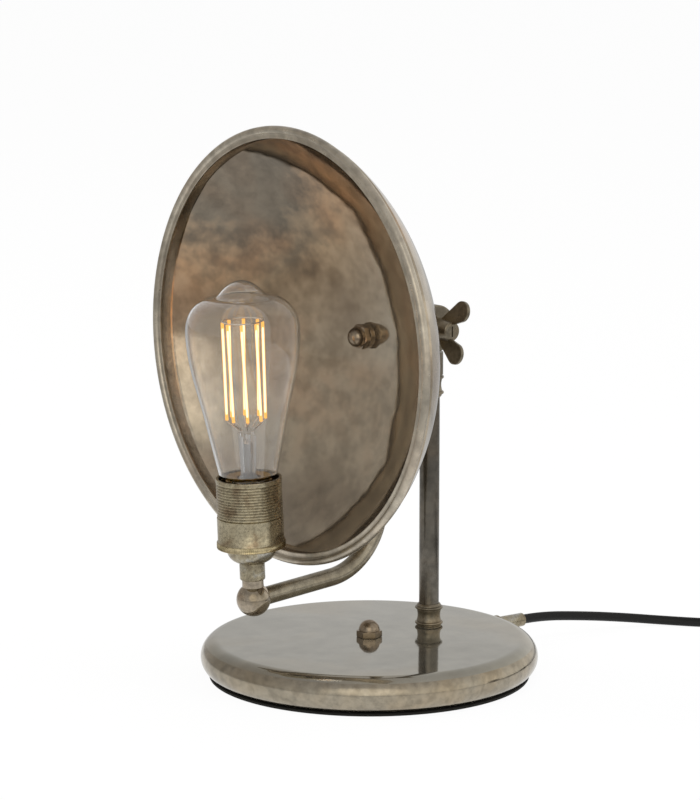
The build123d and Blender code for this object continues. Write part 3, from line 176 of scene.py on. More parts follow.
def turned(path, segments=96):
    """A turned shape about the z axis."""
    bm = bmesh.new()
    draw(bm, path)
    spin_all(bm, segments)
    return bm


def spin_all(bm, segments):
    """Spins everything in the mesh a full turn about the z axis."""
    bmesh.ops.spin(
        bm, geom=bm.verts[:] + bm.edges[:], cent=(0, 0, 0), axis=(0, 0, 1), angle=2 * pi,
        steps=segments, use_merge=True,
    )
    bmesh.ops.remove_doubles(bm, verts=bm.verts, dist=0.001)


def new_verts(made):
    """The vertices among what an operator made."""
    return [v for v in made if isinstance(v, bmesh.types.BMVert)]


def new_edges(made):
    """The edges among what an operator made."""
    return [e for e in made if isinstance(e, bmesh.types.BMEdge)]


def between(foot, top):
    """Stands a shape on one point, aimed at another, and gives the distance between them."""
    way = top - foot
    return Matrix.Translation(foot) @ way.to_track_quat("Z", "Y").to_matrix().to_4x4(), way.length


def join(bm, other, place=None):
    """Adds another mesh to this one."""
    if place is not None:
        bmesh.ops.transform(other, matrix=place, verts=other.verts)
    scrap = bpy.data.meshes.new("scrap")
    other.to_mesh(scrap)
    other.free()
    bm.from_mesh(scrap)
    bpy.data.meshes.remove(scrap)


def piece(name, bm, place, finish, body, slot, *nodes, sharp=32):
    """Places a shape, shades it smooth between edges sharper than some degrees, and lets it ride
    on its body."""
    bmesh.ops.transform(bm, matrix=place, verts=bm.verts)
    bmesh.ops.recalc_face_normals(bm, faces=bm.faces)
    for face in bm.faces:
        face.smooth = True
    for edge in bm.edges:
        edge.smooth = edge.calc_face_angle(0) < radians(sharp)
    mesh = bpy.data.meshes.new(name)
    bm.to_mesh(mesh)
    bm.free()
    mesh.materials.append(finished(finish))
    made = bpy.data.objects.new(name, mesh)
    bpy.context.scene.collection.objects.link(made)
    return settle(made, body, slot, *nodes)


def settle(made, body, slot, *nodes):
    """Lets an object ride on its body and stand for CAD nodes."""
    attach(made, body)
    if nodes:
        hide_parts(*nodes)
    return made


def finish_nodes(finish, *nodes):
    """Gives CAD nodes that stay a finish."""
    for name in nodes:
        node = frame["nodes"][name]
        node.data.materials.clear()
        node.data.materials.append(finished(finish))


# ---- finishes


def fresh(name):
    """An empty node material and its tree."""
    material = bpy.data.materials.new(name)
    material.use_nodes = True
    material.node_tree.nodes.clear()
    return material, material.node_tree


def add(tree, kind, inputs=(), stops=(), **settings):
    """Adds a node with its settings, its values or links, and a colour ramp's stops."""
    made = tree.nodes.new("ShaderNode" + kind)
    for key, value in settings.items():
        setattr(made, key, value)
    for socket, value in dict(inputs).items():
        if isinstance(value, bpy.types.NodeSocket):
            tree.links.new(value, made.inputs[socket])
        else:
            made.inputs[socket].default_value = value
    for number, (position, value) in enumerate(stops):
        elements = made.color_ramp.elements
        stop = elements[number] if number < 2 else elements.new(position)
        stop.position = position
        stop.color = value
    return made


def output(tree, surface):
    """Ends a material's tree."""
    add(tree, "OutputMaterial", {"Surface": surface})


def aged_metal(
    name, tones, rough, patch=60, wave=0.3, grain=0.03, mottling="#dcdcdc", groove_shade=None, painted_dark_spot=None
):
    """Solid metal under a thin patina: broad soft clouds of a darker and a warmer tone, each patch
    some millimetres wide, with a faint mottling, and a slightly uneven surface that makes
    reflections waver. Painted shade darkens the grooves around the lampholder's axis, from one
    radius to another in millimetres. A large painted dark reflection, grey in its middle and warm
    towards its edge, may lie around one point."""
    material, tree = fresh(name)
    dark, plain, warm = (linear(tone) if isinstance(tone, str) else tone for tone in tones)
    where = add(tree, "TexCoord").outputs["Object"]
    clouds = add(tree, "TexNoise", {
        "Vector": where, "Scale": 1000 / patch, "Detail": 3.0, "Roughness": 0.5, "Distortion": 0.6,
    })
    patina = add(
        tree, "ValToRGB", {"Fac": clouds.outputs["Fac"]},
        [(0.33, dark), (0.67, warm), (0.5, plain)],
    )
    # The mottling is seven times finer than the clouds.
    mottle = add(
        tree, "TexNoise", {"Vector": where, "Scale": 7000 / patch, "Detail": 5.0, "Roughness": 0.6}
    )
    mottled = add(
        tree, "ValToRGB", {"Fac": mottle.outputs["Fac"]},
        [(0.36, linear(mottling)), (0.6, linear("#ffffff"))],
    )
    layers = [mottled.outputs["Color"]]
    if groove_shade:
        # Painted shade: the metal darkens towards the holder's axis, down in the grooves.
        from_elbow = add(tree, "VectorMath", {0: where, 1: ELBOW}, operation="SUBTRACT")
        across = add(
            tree, "VectorMath", {0: from_elbow.outputs["Vector"], 1: HOLDER_UP},
            operation="CROSS_PRODUCT",
        )
        off_axis = add(tree, "VectorMath", {0: across.outputs["Vector"]}, operation="LENGTH")
        groove_shade_level = add(tree, "MapRange", {
            "Value": off_axis.outputs["Value"], "From Min": groove_shade[0] * MM,
            "From Max": groove_shade[1] * MM, "To Min": 0.5,
        })
        layers.append(groove_shade_level.outputs["Result"])
    if painted_dark_spot:
        # The mottling makes the edge of the painted dark reflection ragged.
        ragged = 0.05
        away = add(tree, "VectorMath", {0: where, 1: painted_dark_spot}, operation="DISTANCE")
        away = add(
            tree, "Math", {0: mottle.outputs["Fac"], 1: ragged, 2: away.outputs["Value"]},
            operation="MULTIPLY_ADD",
        )
        # Painted dark reflection: grey in the middle, warm towards the edge, none farther out.
        painted_reflection = add(
            tree, "ValToRGB", {"Fac": away.outputs["Value"]},
            [(0.07, linear("#b0b0b2")), (0.17, linear("#ffffff")), (0.105, linear("#f7e6d4"))],
        )
        layers.append(painted_reflection.outputs["Color"])
    mixed = patina.outputs["Color"]
    for layer in layers:
        mixed = add(
            tree, "Mix", {0: 1.0, 6: mixed, 7: layer}, data_type="RGBA", blend_type="MULTIPLY"
        ).outputs[2]
    roughness = add(tree, "MapRange", {
        "Value": mottle.outputs["Fac"], "From Min": 0.3, "From Max": 0.7,
        "To Min": rough * 1.2, "To Max": rough * 0.85,
    })
    # Waves some 22 mm long, and a grain of 1 mm.
    uneven = add(
        tree, "TexNoise", {"Vector": where, "Scale": 45.0, "Detail": 2.0, "Roughness": 0.45}
    )
    fine = add(tree, "TexNoise", {"Vector": where, "Scale": 900.0, "Detail": 3.0})
    bump = add(
        tree, "Bump", {"Strength": wave, "Distance": 0.0006, "Height": uneven.outputs["Fac"]}
    )
    bump = add(tree, "Bump", {
        "Strength": grain, "Distance": 0.0001, "Height": fine.outputs["Fac"],
        "Normal": bump.outputs["Normal"],
    })
    # Tarnish isn't all metal, so deep reflections stay brown and never go black.
    shader = add(tree, "BsdfPrincipled", {
        "Base Color": mixed, "Metallic": 0.92, "Roughness": roughness.outputs["Result"],
        "Normal": bump.outputs["Normal"],
    })
    output(tree, shader.outputs["BSDF"])
    return material


def moulded(name, tone, rough, grain=0.6, shine=0.5):
    """Moulded plastic, felt or rubber: one tone with a grain some millimetres wide."""
    material, tree = fresh(name)
    where = add(tree, "TexCoord").outputs["Object"]
    speck = add(tree, "TexNoise", {"Vector": where, "Scale": 1000 / grain, "Detail": 3.0})
    tones = add(
        tree,
        "ValToRGB",
        {"Fac": speck.outputs["Fac"]},
        [(0.3, [c * 0.8 for c in tone[:3]] + [1]), (0.7, tone)],
    )
    bump = add(tree, "Bump", {"Strength": 0.2, "Distance": 0.0001, "Height": speck.outputs["Fac"]})
    shader = add(tree, "BsdfPrincipled", {
        "Base Color": tones.outputs["Color"], "Roughness": rough, "Specular IOR Level": shine,
        "Normal": bump.outputs["Normal"],
    })
    output(tree, shader.outputs["BSDF"])
    return material


def glass(name, tint, rough=0.0, clear=1.0):
    """Blown glass, clear and smooth, or milky where it was pressed hot."""
    material, tree = fresh(name)
    shader = add(
        tree, "BsdfPrincipled",
        {"Base Color": tint, "Roughness": rough, "IOR": 1.47, "Transmission Weight": clear},
    )
    output(tree, shader.outputs["BSDF"])
    return material


def glowing(name, tone, strength, veil=0.0):
    """Lit phosphor: an even glow, and a veil lets what is inside it shine through."""
    material, tree = fresh(name)
    light = add(tree, "Emission", {"Color": tone, "Strength": strength})
    if veil:
        clear = add(tree, "BsdfTransparent")
        light = add(
            tree, "MixShader", {0: veil, 1: light.outputs["Emission"], 2: clear.outputs["BSDF"]}
        )
    output(tree, light.outputs[0])
    return material


finishes = {}


def finished(finish):
    """The finish of this name. All of them are made when the first is asked for."""
    if not finishes:
        make_finishes(bpy.context.scene.searchlight_colours)
    return finishes[finish]


def make_finishes(colours):
    """All the finishes of the lamp, by name."""
    # Spun and polished, then worn by hand: mirror-like, with soft brown clouds.
    finishes["nickel"] = aged_metal(
        "aged_nickel_plate", (colours.nickel_dark, colours.nickel, colours.nickel_warm),
        rough=0.07, patch=80, wave=0.36, grain=0.01, mottling="#dedede",
        # A painted dark reflection on the dish's upper left lies around this point.
        painted_dark_spot=PIVOT + Vector((-0.075, -0.0855, 0.1)),
    )
    # The flat of the base is handled less: nearly even, greyer, with the same polish.
    finishes["base_nickel"] = aged_metal(
        "polished_nickel_base", ("#9b978b", "#a5a195", "#a8a08f"), rough=0.07, patch=90, wave=0.12,
        grain=0.01, mottling="#f2f2f2",
    )
    # The rolled rim is where the base is held: warmer, duller and cloudier than the flat.
    finishes["base_rim"] = aged_metal(
        "worn_nickel_rim", ("#958c7b", "#a59c8b", "#ab9d86"), rough=0.14, patch=40, wave=0.25,
        grain=0.02,
    )
    # The rolled bezel was burnished with a tool and stays satin.
    finishes["rim"] = aged_metal(
        "burnished_nickel_bezel", ("#b5ab9a", "#c5bcab", "#c6b9a6"), rough=0.3, patch=50
    )
    # Chemically darkened steel tube, drawn smooth: streaky grey-brown with a soft sheen.
    finishes["bronze"] = aged_metal(
        "darkened_steel_tube", ("#59554d", colours.bronze, "#746b5e"), rough=0.2, patch=30,
        wave=0.15,
    )
    # The arm is the column's darkened steel, painted lighter for the light that its top mirrors.
    finishes["arm"] = aged_metal(
        "darkened_steel_tube_painted_lighter", ("#8c826f", "#a39a87", "#a99b86"), rough=0.24, patch=25, wave=0.1
    )
    # Small brass castings darkened the same way, with softer edges and a finer skin.
    finishes["casting"] = aged_metal(
        "darkened_brass_casting", ("#797060", "#8a8170", "#968871"), rough=0.32, patch=15,
        wave=0.1, grain=0.2,
    )
    # The elbow ball is cast and polished: brown with a grey sheen.
    finishes["ball"] = aged_metal(
        "polished_brown_casting", ("#968974", "#aa9e8c", "#b5a48e"), rough=0.14, patch=15,
        wave=0.1, grain=0.05,
    )
    # Turned nuts, polished after darkening: brown, with one soft light on the dome.
    finishes["polished"] = aged_metal(
        "polished_brown_nickel", ("#807260", "#978874", "#9c8973"), rough=0.22, patch=14, wave=0.05
    )
    # Unlacquered brass that has gone dull, brown in places and silvery where it is rubbed.
    finishes["brass"] = aged_metal(
        "aged_brass", ("#8c806b", colours.brass, "#bbb9b2"), rough=0.25, patch=12, wave=0.1,
        grain=0.08, mottling="#d0d0d0",
    )
    # The same brass cut with a thread: pale crests, and painted shade in the grooves.
    finishes["thread"] = aged_metal(
        "brass_thread_painted_groove_shade", ("#9c8a6f", "#bdb194", "#c6bb9e"), rough=0.25, patch=12, wave=0.1,
        grain=0.06, mottling="#d0d0d0", groove_shade=(17.8, 18.4),
    )
    # The knurled ring is what fingers turn, so its ridges are rubbed yellow; painted shade darkens
    # it towards the axis, between the ridges.
    finishes["ring"] = aged_metal(
        "rubbed_brass_ring_painted_groove_shade", ("#b8a880", "#cbba92", "#d0c09a"), rough=0.25, patch=12, wave=0.05,
        grain=0.05, groove_shade=(18.9, 19.2),
    )
    # Brass and steel that sit inside are still as they left the machine.
    finishes["bright_brass"] = aged_metal(
        "bright_brass", ("#b08a3a", "#c39b45", "#bd954a"), rough=0.18, patch=14, wave=0.05
    )
    finishes["steel"] = aged_metal(
        "zinc_plated_steel", ("#8f9194", "#a8aaad", "#a3a5a2"), rough=0.35, patch=10, wave=0.05
    )
    # Sand-cast iron: dark, dull and rough.
    finishes["iron"] = aged_metal(
        "cast_iron", ("#3a3836", "#45423f", "#4b443d"), rough=0.6, patch=10, grain=0.4
    )
    # Plated pins slide bright.
    finishes["pins"] = aged_metal(
        "nickel_plated_pins", ("#b4b0a8", "#c4c0b8", "#c8c1b2"), rough=0.15, patch=10, wave=0.02
    )
    # Felt swallows light, moulded plastic has a dull shine, and a drawn sheath has even less.
    finishes["felt"] = moulded("black_felt", linear("#15140f"), 0.95, grain=1.2)
    finishes["plastic"] = moulded("moulded_black_plastic", linear("#1b1b1a"), 0.38)
    finishes["sheath"] = moulded("black_cord_sheath", colours.cord, 0.5, shine=0.3)
    # Glazed porcelain and cast black glass shine, pressed fibre is matt and red-brown.
    finishes["porcelain"] = moulded("glazed_porcelain", linear("#e6e2d8"), 0.2, grain=3.0)
    finishes["fibre"] = moulded("pressed_fibre", linear("#6d3b2a"), 0.8)
    finishes["black_glass"] = moulded("black_glass", linear("#141416"), 0.08, grain=5.0)
    # Blown glass is clear. The stem was pressed hot, which left it a little milky.
    finishes["glass"] = glass("clear_glass", linear("#ffffff"))
    finishes["stem_glass"] = glass("pressed_glass_stem", linear("#ffffff"), rough=0.15, clear=0.8)
    # The lit chips under the phosphor are nearly white, and the phosphor around them is amber.
    finishes["core"] = glowing("glowing_chips", linear("#fff3d6"), 2.6)
    finishes["glow"] = glowing("glowing_phosphor", colours.glow, 1.55, veil=0.45)
    # Drawn wire that the lit sticks warm to a copper tone.
    finishes["lead"] = aged_metal(
        "nickel_iron_wire", ("#b8aea2", "#cfc6ba", "#d8b99c"), rough=0.3, patch=5, wave=0.02
    )


# ---- shapes of like pieces


def domed_nut(turn):
    """A hexagon nut with chamfered corners and a closed dome, on its seat. Its sizes are half the
    width across the flats, the height of the hexagon and the radius of the dome."""
    flats, hexagon, dome, cuts = 6.5, 4.0, 6.1, 12
    seat, waist, sharp = 0.01, 1, 0.8
    bm = bmesh.new()
    draw(bm, [(dome, hexagon), arc(0, hexagon, 90)])
    spin_all(bm, 6 * cuts)
    bmesh.ops.create_circle(bm, segments=6, radius=flats / cos(pi / 6))
    bmesh.ops.subdivide_edges(bm, edges=[e for e in bm.edges if e.is_wire], cuts=cuts - 1)
    wall = bmesh.ops.extrude_edge_only(bm, edges=[e for e in bm.edges if e.is_wire])
    for corner in new_verts(wall["geom"]):
        corner.co.z = hexagon - (corner.co.xy.length - flats) * tan(pi / 6)
    rims = [e for e in bm.edges if e.is_boundary and min(v.co.z for v in e.verts) > waist]
    bmesh.ops.bridge_loops(bm, edges=rims)
    bmesh.ops.holes_fill(bm, edges=[e for e in bm.edges if e.is_boundary], sides=0)
    uprights = [
        e
        for e in bm.edges
        if e.calc_face_angle(0) > sharp
        and min(v.co.z for v in e.verts) < waist < max(v.co.z for v in e.verts)
    ]
    soften(bm, uprights, 0.3, "EDGES", 2)
    foot = [
        e for e in bm.edges if e.calc_face_angle(0) > sharp and max(v.co.z for v in e.verts) < seat
    ]
    soften(bm, foot, 0.5, "EDGES", 2)
    bmesh.ops.rotate(bm, cent=(0, 0, 0), matrix=Matrix.Rotation(turn, 3, "Z"), verts=bm.verts)
    return bm


# The outline of a collar, radius and height: two beads with a waist between them.
COLLAR = [
    (5.9, 0), (7.2, 0, 0.2), (7.2, 0.85), (7.45, 0.85), arc(7.45, 1.6, 180, 15), (7.1, 2.35),
    (7.1, 3.1), arc(16.76, 6.15, -35.05), (7.1, 9.95), (7.45, 9.95), arc(7.45, 10.7, 180, 15),
    (7.1, 11.45), (7.1, 12.2, 0.3), (6.35, 13.2), (5.9, 13.2), (5.9, 0),
]


# ---- operators


class Make:
    """What every operator of the lamp has in common."""

    bl_options = {"REGISTER", "UNDO"}

    @property
    def sizes(self):
        """The sizes that a user may change."""
        return bpy.context.scene.searchlight_sizes

    def mm(self, name):
        """A size of the lamp in millimetres."""
        return getattr(self.sizes, name) / MM


class SEARCHLIGHT_OT_stage(Make, bpy.types.Operator):
    """Set the camera, the lights and a pale floor"""

    bl_idname = "searchlight.stage"
    bl_label = "Stage"

    def execute(self, context):
        scene = context.scene
        scene.view_settings.view_transform = "Standard"
        middle = Vector((0, 0, 0.150))
        self.aim_camera(scene, middle)
        self.hang_lights(scene, middle)
        self.lay_floor(scene)
        self.surround(scene)
        return {"FINISHED"}

    def aim_camera(self, scene, middle):
        """Looks at the lamp from in front and a little above."""
        azimuth, elevation, distance = radians(50.33), radians(10.77), 2.0
        # It aims a little beside and above the lamp's middle.
        aside, above = 0.0112, 0.0116
        back = Vector(
            (sin(azimuth) * cos(elevation), -cos(azimuth) * cos(elevation), sin(elevation))
        )
        right = Vector((cos(azimuth), sin(azimuth), 0))
        camera = bpy.data.objects.new("camera", bpy.data.cameras.new("camera"))
        camera.data.lens = 156.8
        camera.data.clip_end = 60
        camera.location = middle + back * distance
        aim = middle - right * aside + back.cross(right) * above
        camera.rotation_euler = (aim - camera.location).to_track_quat("-Z", "Y").to_euler()
        scene.collection.objects.link(camera)
        scene.camera = camera

    def hang_lights(self, scene, middle):
        """Hangs three soft lights. Places and sizes are in metres, energies in watts."""
        for name, place, energy, size, tint in (
            ("key_light", (-1.6, -1.5, 1.5), 32, 1.3, "#fffaf2"),
            ("fill_light", (2.0, 0.6, 1.2), 16, 1.2, "#f6f8ff"),
            ("top_light", (0.2, 0.3, 2.2), 18, 1.4, "#ffffff"),
        ):
            lamp = bpy.data.objects.new(name, bpy.data.lights.new(name, "AREA"))
            lamp.data.energy = energy
            lamp.data.size = size
            lamp.data.color = linear(tint)[:3]
            lamp.location = place
            lamp.rotation_euler = (middle - lamp.location).to_track_quat("-Z", "Y").to_euler()
            # Metal and glass show the room below instead of a hard square of light.
            lamp.visible_glossy = lamp.visible_transmission = False
            scene.collection.objects.link(lamp)

    def lay_floor(self, scene):
        """Lays a sheet of paper under the lamp."""
        bm = bmesh.new()
        bmesh.ops.create_grid(bm, x_segments=1, y_segments=1, size=6)
        mesh = bpy.data.meshes.new("floor")
        bm.to_mesh(mesh)
        bm.free()
        floor = bpy.data.objects.new("floor", mesh)
        scene.collection.objects.link(floor)
        mesh.materials.append(self.white_paper())

    def white_paper(self):
        """Matt white paper. The eye meets it nearly pure white, through glass as well, and the
        small rest of it is lit, which keeps a soft shadow."""
        material, tree = fresh("white_paper")
        path = add(tree, "LightPath")
        seen = path.outputs["Is Camera Ray"]
        for ray in ("Is Glossy Ray", "Is Transmission Ray"):
            both = add(tree, "Math", {0: seen, 1: path.outputs[ray]}, operation="MAXIMUM")
            seen = both.outputs["Value"]
        share = add(tree, "Math", {0: seen, 1: 0.95}, operation="MULTIPLY")
        paper = add(tree, "BsdfDiffuse", {"Color": linear("#f4f4f4")})
        # Mirrored in metal, it dims away from the lamp and far away takes the level of the walls.
        where = add(tree, "TexCoord").outputs["Object"]
        spread = add(tree, "VectorMath", {0: where}, operation="LENGTH")
        near = add(tree, "MapRange", {
            "Value": spread.outputs["Value"], "From Min": 0.15, "From Max": 0.6,
            "To Min": 0.92, "To Max": 0.44,
        })
        far = add(
            tree, "MapRange", {"Value": spread.outputs["Value"], "From Min": 1.2, "From Max": 5.0}
        )
        heading = add(tree, "VectorMath", {0: where}, operation="NORMALIZE")
        mirrored = add(tree, "Mix", {
            0: far.outputs["Result"], 6: near.outputs["Result"],
            7: self.walls(tree, heading.outputs["Vector"]),
        }, data_type="RGBA")
        tone = add(
            tree, "Mix", {0: path.outputs["Is Glossy Ray"], 6: WHITE, 7: mirrored.outputs[2]},
            data_type="RGBA",
        )
        white = add(tree, "Emission", {"Color": tone.outputs[2], "Strength": 1.0})
        mixed = add(
            tree, "MixShader",
            {0: share.outputs["Value"], 1: paper.outputs["BSDF"], 2: white.outputs["Emission"]},
        )
        output(tree, mixed.outputs["Shader"])
        return material

    def surround(self, scene):
        """A room that is white to the eye. Metal mirrors it as pale walls that darken towards the
        left of the dish, a darker ceiling, and one soft window in front. Everything else gets an
        even, dimmer light from it."""
        world = bpy.data.worlds.new("room")
        scene.world = world
        world.use_nodes = True
        tree = world.node_tree
        tree.nodes.clear()
        path = add(tree, "LightPath")
        toward = add(tree, "TexCoord").outputs["Generated"]
        depth = self.walls(tree, toward)
        parts = add(tree, "SeparateXYZ", {0: toward})
        height = add(
            tree, "ValToRGB", {"Fac": parts.outputs["Z"]},
            [(0.25, WHITE), (0.9, (0.62, 0.62, 0.64, 1))],
        )
        walls = add(
            tree, "Mix", {0: 1.0, 6: depth, 7: height.outputs["Color"]}, data_type="RGBA",
            blend_type="MULTIPLY",
        )
        window_way, window_edge, window_core = (0.689, -0.620, 0.375), radians(30), radians(7)
        window = add(tree, "VectorMath", {0: toward, 1: window_way}, operation="DOT_PRODUCT")
        window = add(tree, "MapRange", {
            "Value": window.outputs["Value"], "From Min": cos(window_edge),
            "From Max": cos(window_core), "To Max": 0.85,
        }, interpolation_type="SMOOTHSTEP")
        lit = add(
            tree, "Mix",
            {0: window.outputs["Result"], 6: walls.outputs[2], 7: (1.6, 1.55, 1.45, 1)},
            data_type="RGBA",
        )
        room = add(tree, "Background", {"Color": lit.outputs[2], "Strength": 1.0})
        plain = add(tree, "Background", {"Color": WHITE, "Strength": 0.62})
        white = add(tree, "Background", {"Color": WHITE, "Strength": 1.0})
        reflected = add(tree, "MixShader", {
            0: path.outputs["Is Glossy Ray"], 1: plain.outputs["Background"],
            2: room.outputs["Background"],
        })
        clear = add(
            tree, "Math",
            {0: path.outputs["Is Camera Ray"], 1: path.outputs["Is Transmission Ray"]},
            operation="MAXIMUM",
        )
        mixed = add(tree, "MixShader", {
            0: clear.outputs["Value"], 1: reflected.outputs["Shader"],
            2: white.outputs["Background"],
        })
        add(tree, "OutputWorld", {"Surface": mixed.outputs["Shader"]})

    def walls(self, tree, toward):
        """The level of the room's walls all round, darkest to the left of the dish."""
        darkest = (-0.866, -0.5, 0.0)
        left = add(tree, "VectorMath", {0: toward, 1: darkest}, operation="DOT_PRODUCT")
        left = add(tree, "MapRange", {"Value": left.outputs["Value"], "From Min": -1.0})
        depth = add(tree, "ValToRGB", {"Fac": left.outputs["Result"]}, [
            (0.0, (1.0, 0.99, 0.96, 1)), (1.0, (0.41, 0.39, 0.37, 1)),
            (0.33, (0.94, 0.92, 0.88, 1)), (0.67, (0.69, 0.69, 0.69, 1)),
            (0.88, (0.47, 0.45, 0.425, 1)),
        ])
        return depth.outputs["Color"]


def cord_curve(name, points, diameter):
    """A cord along control points in millimetres."""
    curve = bpy.data.curves.new(name, "CURVE")
    curve.dimensions = "3D"
    curve.bevel_depth = diameter / 2
    curve.bevel_resolution = 8
    curve.use_fill_caps = True
    curve.resolution_u = 6
    spline = curve.splines.new("NURBS")
    spline.points.add(len(points) - 1)
    for point, place in zip(spline.points, points):
        point.co = (*(Vector(place) * MM), 1)
    spline.order_u = 3
    spline.use_endpoint_u = True
    curve.materials.append(finished("sheath"))
    made = bpy.data.objects.new(name, curve)
    bpy.context.scene.collection.objects.link(made)
    return made


class SEARCHLIGHT_OT_cord(Make, bpy.types.Operator):
    """Lay the cord out of the base, through its switch and a tied coil to the plug"""

    bl_idname = "searchlight.cord"
    bl_label = "Cord"

    def execute(self, context):
        self.lay_lead()
        self.lay_coil()
        finish_nodes(
            "plastic", "switch_lower_shell", "switch_upper_shell", "switch_rocker", "plug_body",
            "cord_clamp", "terminal_block",
        )
        finish_nodes("pins", "plug_pins")
        finish_nodes(
            "steel", "switch_screws", "clamp_screws", "terminal_screws", "plate_screws",
            "base_plate", "column_nipple", "column_lock_nut", "head_nipple", "centre_bolt",
        )
        finish_nodes("iron", "base_weight")
        finish_nodes("bright_brass", "switch_contacts", "cord_grip_nut")
        finish_nodes("sheath", "cord_inner_end", "column_wires", "head_wires")
        finish_nodes("fibre", "knuckle_friction_washer")
        return {"FINISHED"}

    def lay_lead(self):
        """Lays the cord from the base down to the floor and up to the switch."""
        diameter = self.sizes.cord_diameter
        route = [
            (0, 118, 13.5), (0, 134, 13.4), (6.5, 163, 10.2), (13, 190, 6.2), (24, 213, 2.85),
            (50, 232, 2.85), (66, 241.3, 5.5), (80, 249.4, 7.2),
        ]
        lead = settle(
            cord_curve("lead_to_switch", route, diameter), "root", "cord_sheath", "cord_to_switch"
        )

    def lay_coil(self):
        """Lays the rest of the cord. Its coil winds inwards on the floor, climbs in a few steps
        and winds outwards on top."""
        diameter = self.sizes.cord_diameter
        coil_x, coil_y = 182.8, 260.1
        outer, inner, low, high = 41.5, 21.0, 3.35, 8.95
        route = [(132.83, 279.9, 7.2), (141.0, 284.6, 5.2), (150.0, 289.3, 3.6)]
        steps, stride, climb, entry = 66, 20, 4, 120
        for layer in range(2):
            for step in range(steps + 1):
                share = step / steps
                angle = radians(entry - stride * step - 2 * entry * layer)
                if layer == 0:
                    radius, height = outer + (inner - outer) * share, low
                else:
                    radius, height = inner + (outer - inner) * share, high
                if layer == 1 and step < climb:
                    height = low + (high - low) * (step + 1) / (climb + 1)
                route.append((coil_x + radius * cos(angle), coil_y + radius * sin(angle), height))
        route += [(224.3, 240, 10.1), (224.6, 225.2, 16.35), (224.3, 212.5, 18.35)]
        coil = settle(
            cord_curve("lead_coil_and_tail", route, diameter), "root", "cord_sheath",
            "cord_after_switch", "cord_coil", "cord_to_plug",
        )
        tie = self.strap(Vector((coil_x, coil_y, (low + high) / 2)))

    def strap(self, middle):
        """A strap that holds the coil together on one side of its middle."""
        strap, wall, wide = bmesh.new(), 0.5, 8
        for grow in (0, wall):
            side, rise, corner = 13.4 + grow, 5.6 + grow, 2.5 + grow
            draw(strap, [
                (0, -rise), (side, -rise, corner), (side, rise, corner),
                (-side, rise, corner), (-side, -rise, corner), (0, -rise),
            ])
        bmesh.ops.remove_doubles(strap, verts=strap.verts, dist=0.01)
        walls = bmesh.ops.extrude_edge_only(strap, edges=strap.edges)["geom"]
        bmesh.ops.translate(strap, vec=(0, wide, 0), verts=new_verts(walls))
        for end in (0, wide):
            rims = [e for e in strap.edges if all(abs(v.co.y - end) < 0.1 for v in e.verts)]
            bmesh.ops.bridge_loops(strap, edges=rims)
        bmesh.ops.translate(strap, vec=(0, -wide / 2, 0), verts=strap.verts)
        tie_angle, tie_radius = radians(240), 31.1
        out = Vector((cos(tie_angle), sin(tie_angle), 0))
        place = standing((middle + out * tie_radius) * MM, UP, out)
        return piece("coil_tie", strap, place, "felt", "root", "black_plastic")


class SEARCHLIGHT_OT_base(Make, bpy.types.Operator):
    """Model the rolled base, its pad, its domed nut and the cord grip"""

    bl_idname = "searchlight.base"
    bl_label = "Base"

    def execute(self, context):
        floor = standing((0, 0, 0), UP)
        radius, top = self.mm("base_radius"), self.mm("base_height")
        lip, plate, lip_radius, wall, pad_radius = 1.4, 2.4, 84, 1.2, 93
        rim = (top - lip) / 2
        middle = radius - rim
        pad = turned([
            (0, 0), (pad_radius, 0, 0.4), (pad_radius, lip), (lip_radius, lip),
            (lip_radius, plate), (0, plate),
        ], 160)
        piece("felt_pad", pad, floor, "felt", "root", "foot_felt", "base_pad")
        cover = turned([
            (0, top), (middle, top), arc(middle, top - rim, -180, 3), (lip_radius, lip),
            (lip_radius, lip + wall), (middle, lip + wall), arc(middle, top - rim, 180, 6),
            (0, top - wall),
        ], 192)
        shell = piece(
            "base_cover", cover, floor, "base_nickel", "root", "aged_nickel", "base_shell"
        )
        # The rim's finish starts where the cover turns down.
        turns_down = 0.7
        shell.data.materials.append(finished("base_rim"))
        for face in shell.data.polygons:
            if face.normal.z < turns_down:
                face.material_index = 1
        nut, seat = domed_nut(radians(20)), standing((0, 0, top * MM), UP)
        piece("base_nut", nut, seat, "polished", "root", "polished_nickel", "base_cap_nut")
        finish_nodes("brass", "cord_grip")
        return {"FINISHED"}


class SEARCHLIGHT_OT_column(Make, bpy.types.Operator):
    """Model the column with its two ringed collars, and finish the knuckle on it"""

    bl_idname = "searchlight.column"
    bl_label = "Column"

    def execute(self, context):
        top, radius = self.mm("base_height"), self.mm("column_radius")
        knuckle, sunk = 27.3, 2.8
        stem_top = PIVOT.z / MM - knuckle
        collars = turned(COLLAR, 72)
        upper = Matrix.Translation((0, 0, stem_top - top)) @ Matrix.Rotation(pi, 4, "X")
        join(collars, turned(COLLAR, 72), upper)
        piece(
            "column_collars", collars, standing(COLUMN + UP * top * MM, UP), "casting", "root",
            "bronzed_brass", "foot_collar", "top_collar",
        )
        bore, foot, head = radius - 1, 25, stem_top - sunk
        tube = [(radius, foot), (radius, head), (bore, head), (bore, foot), (radius, foot)]
        place = standing(COLUMN, UP)
        piece(
            "column", turned(tube, 72), place, "bronze", "root", "bronzed_steel", "column_tube"
        )
        finish_nodes(
            "casting", "knuckle_lower", "knuckle_upper", "pivot_screw", "wing_nut", "pivot_washer"
        )
        return {"FINISHED"}


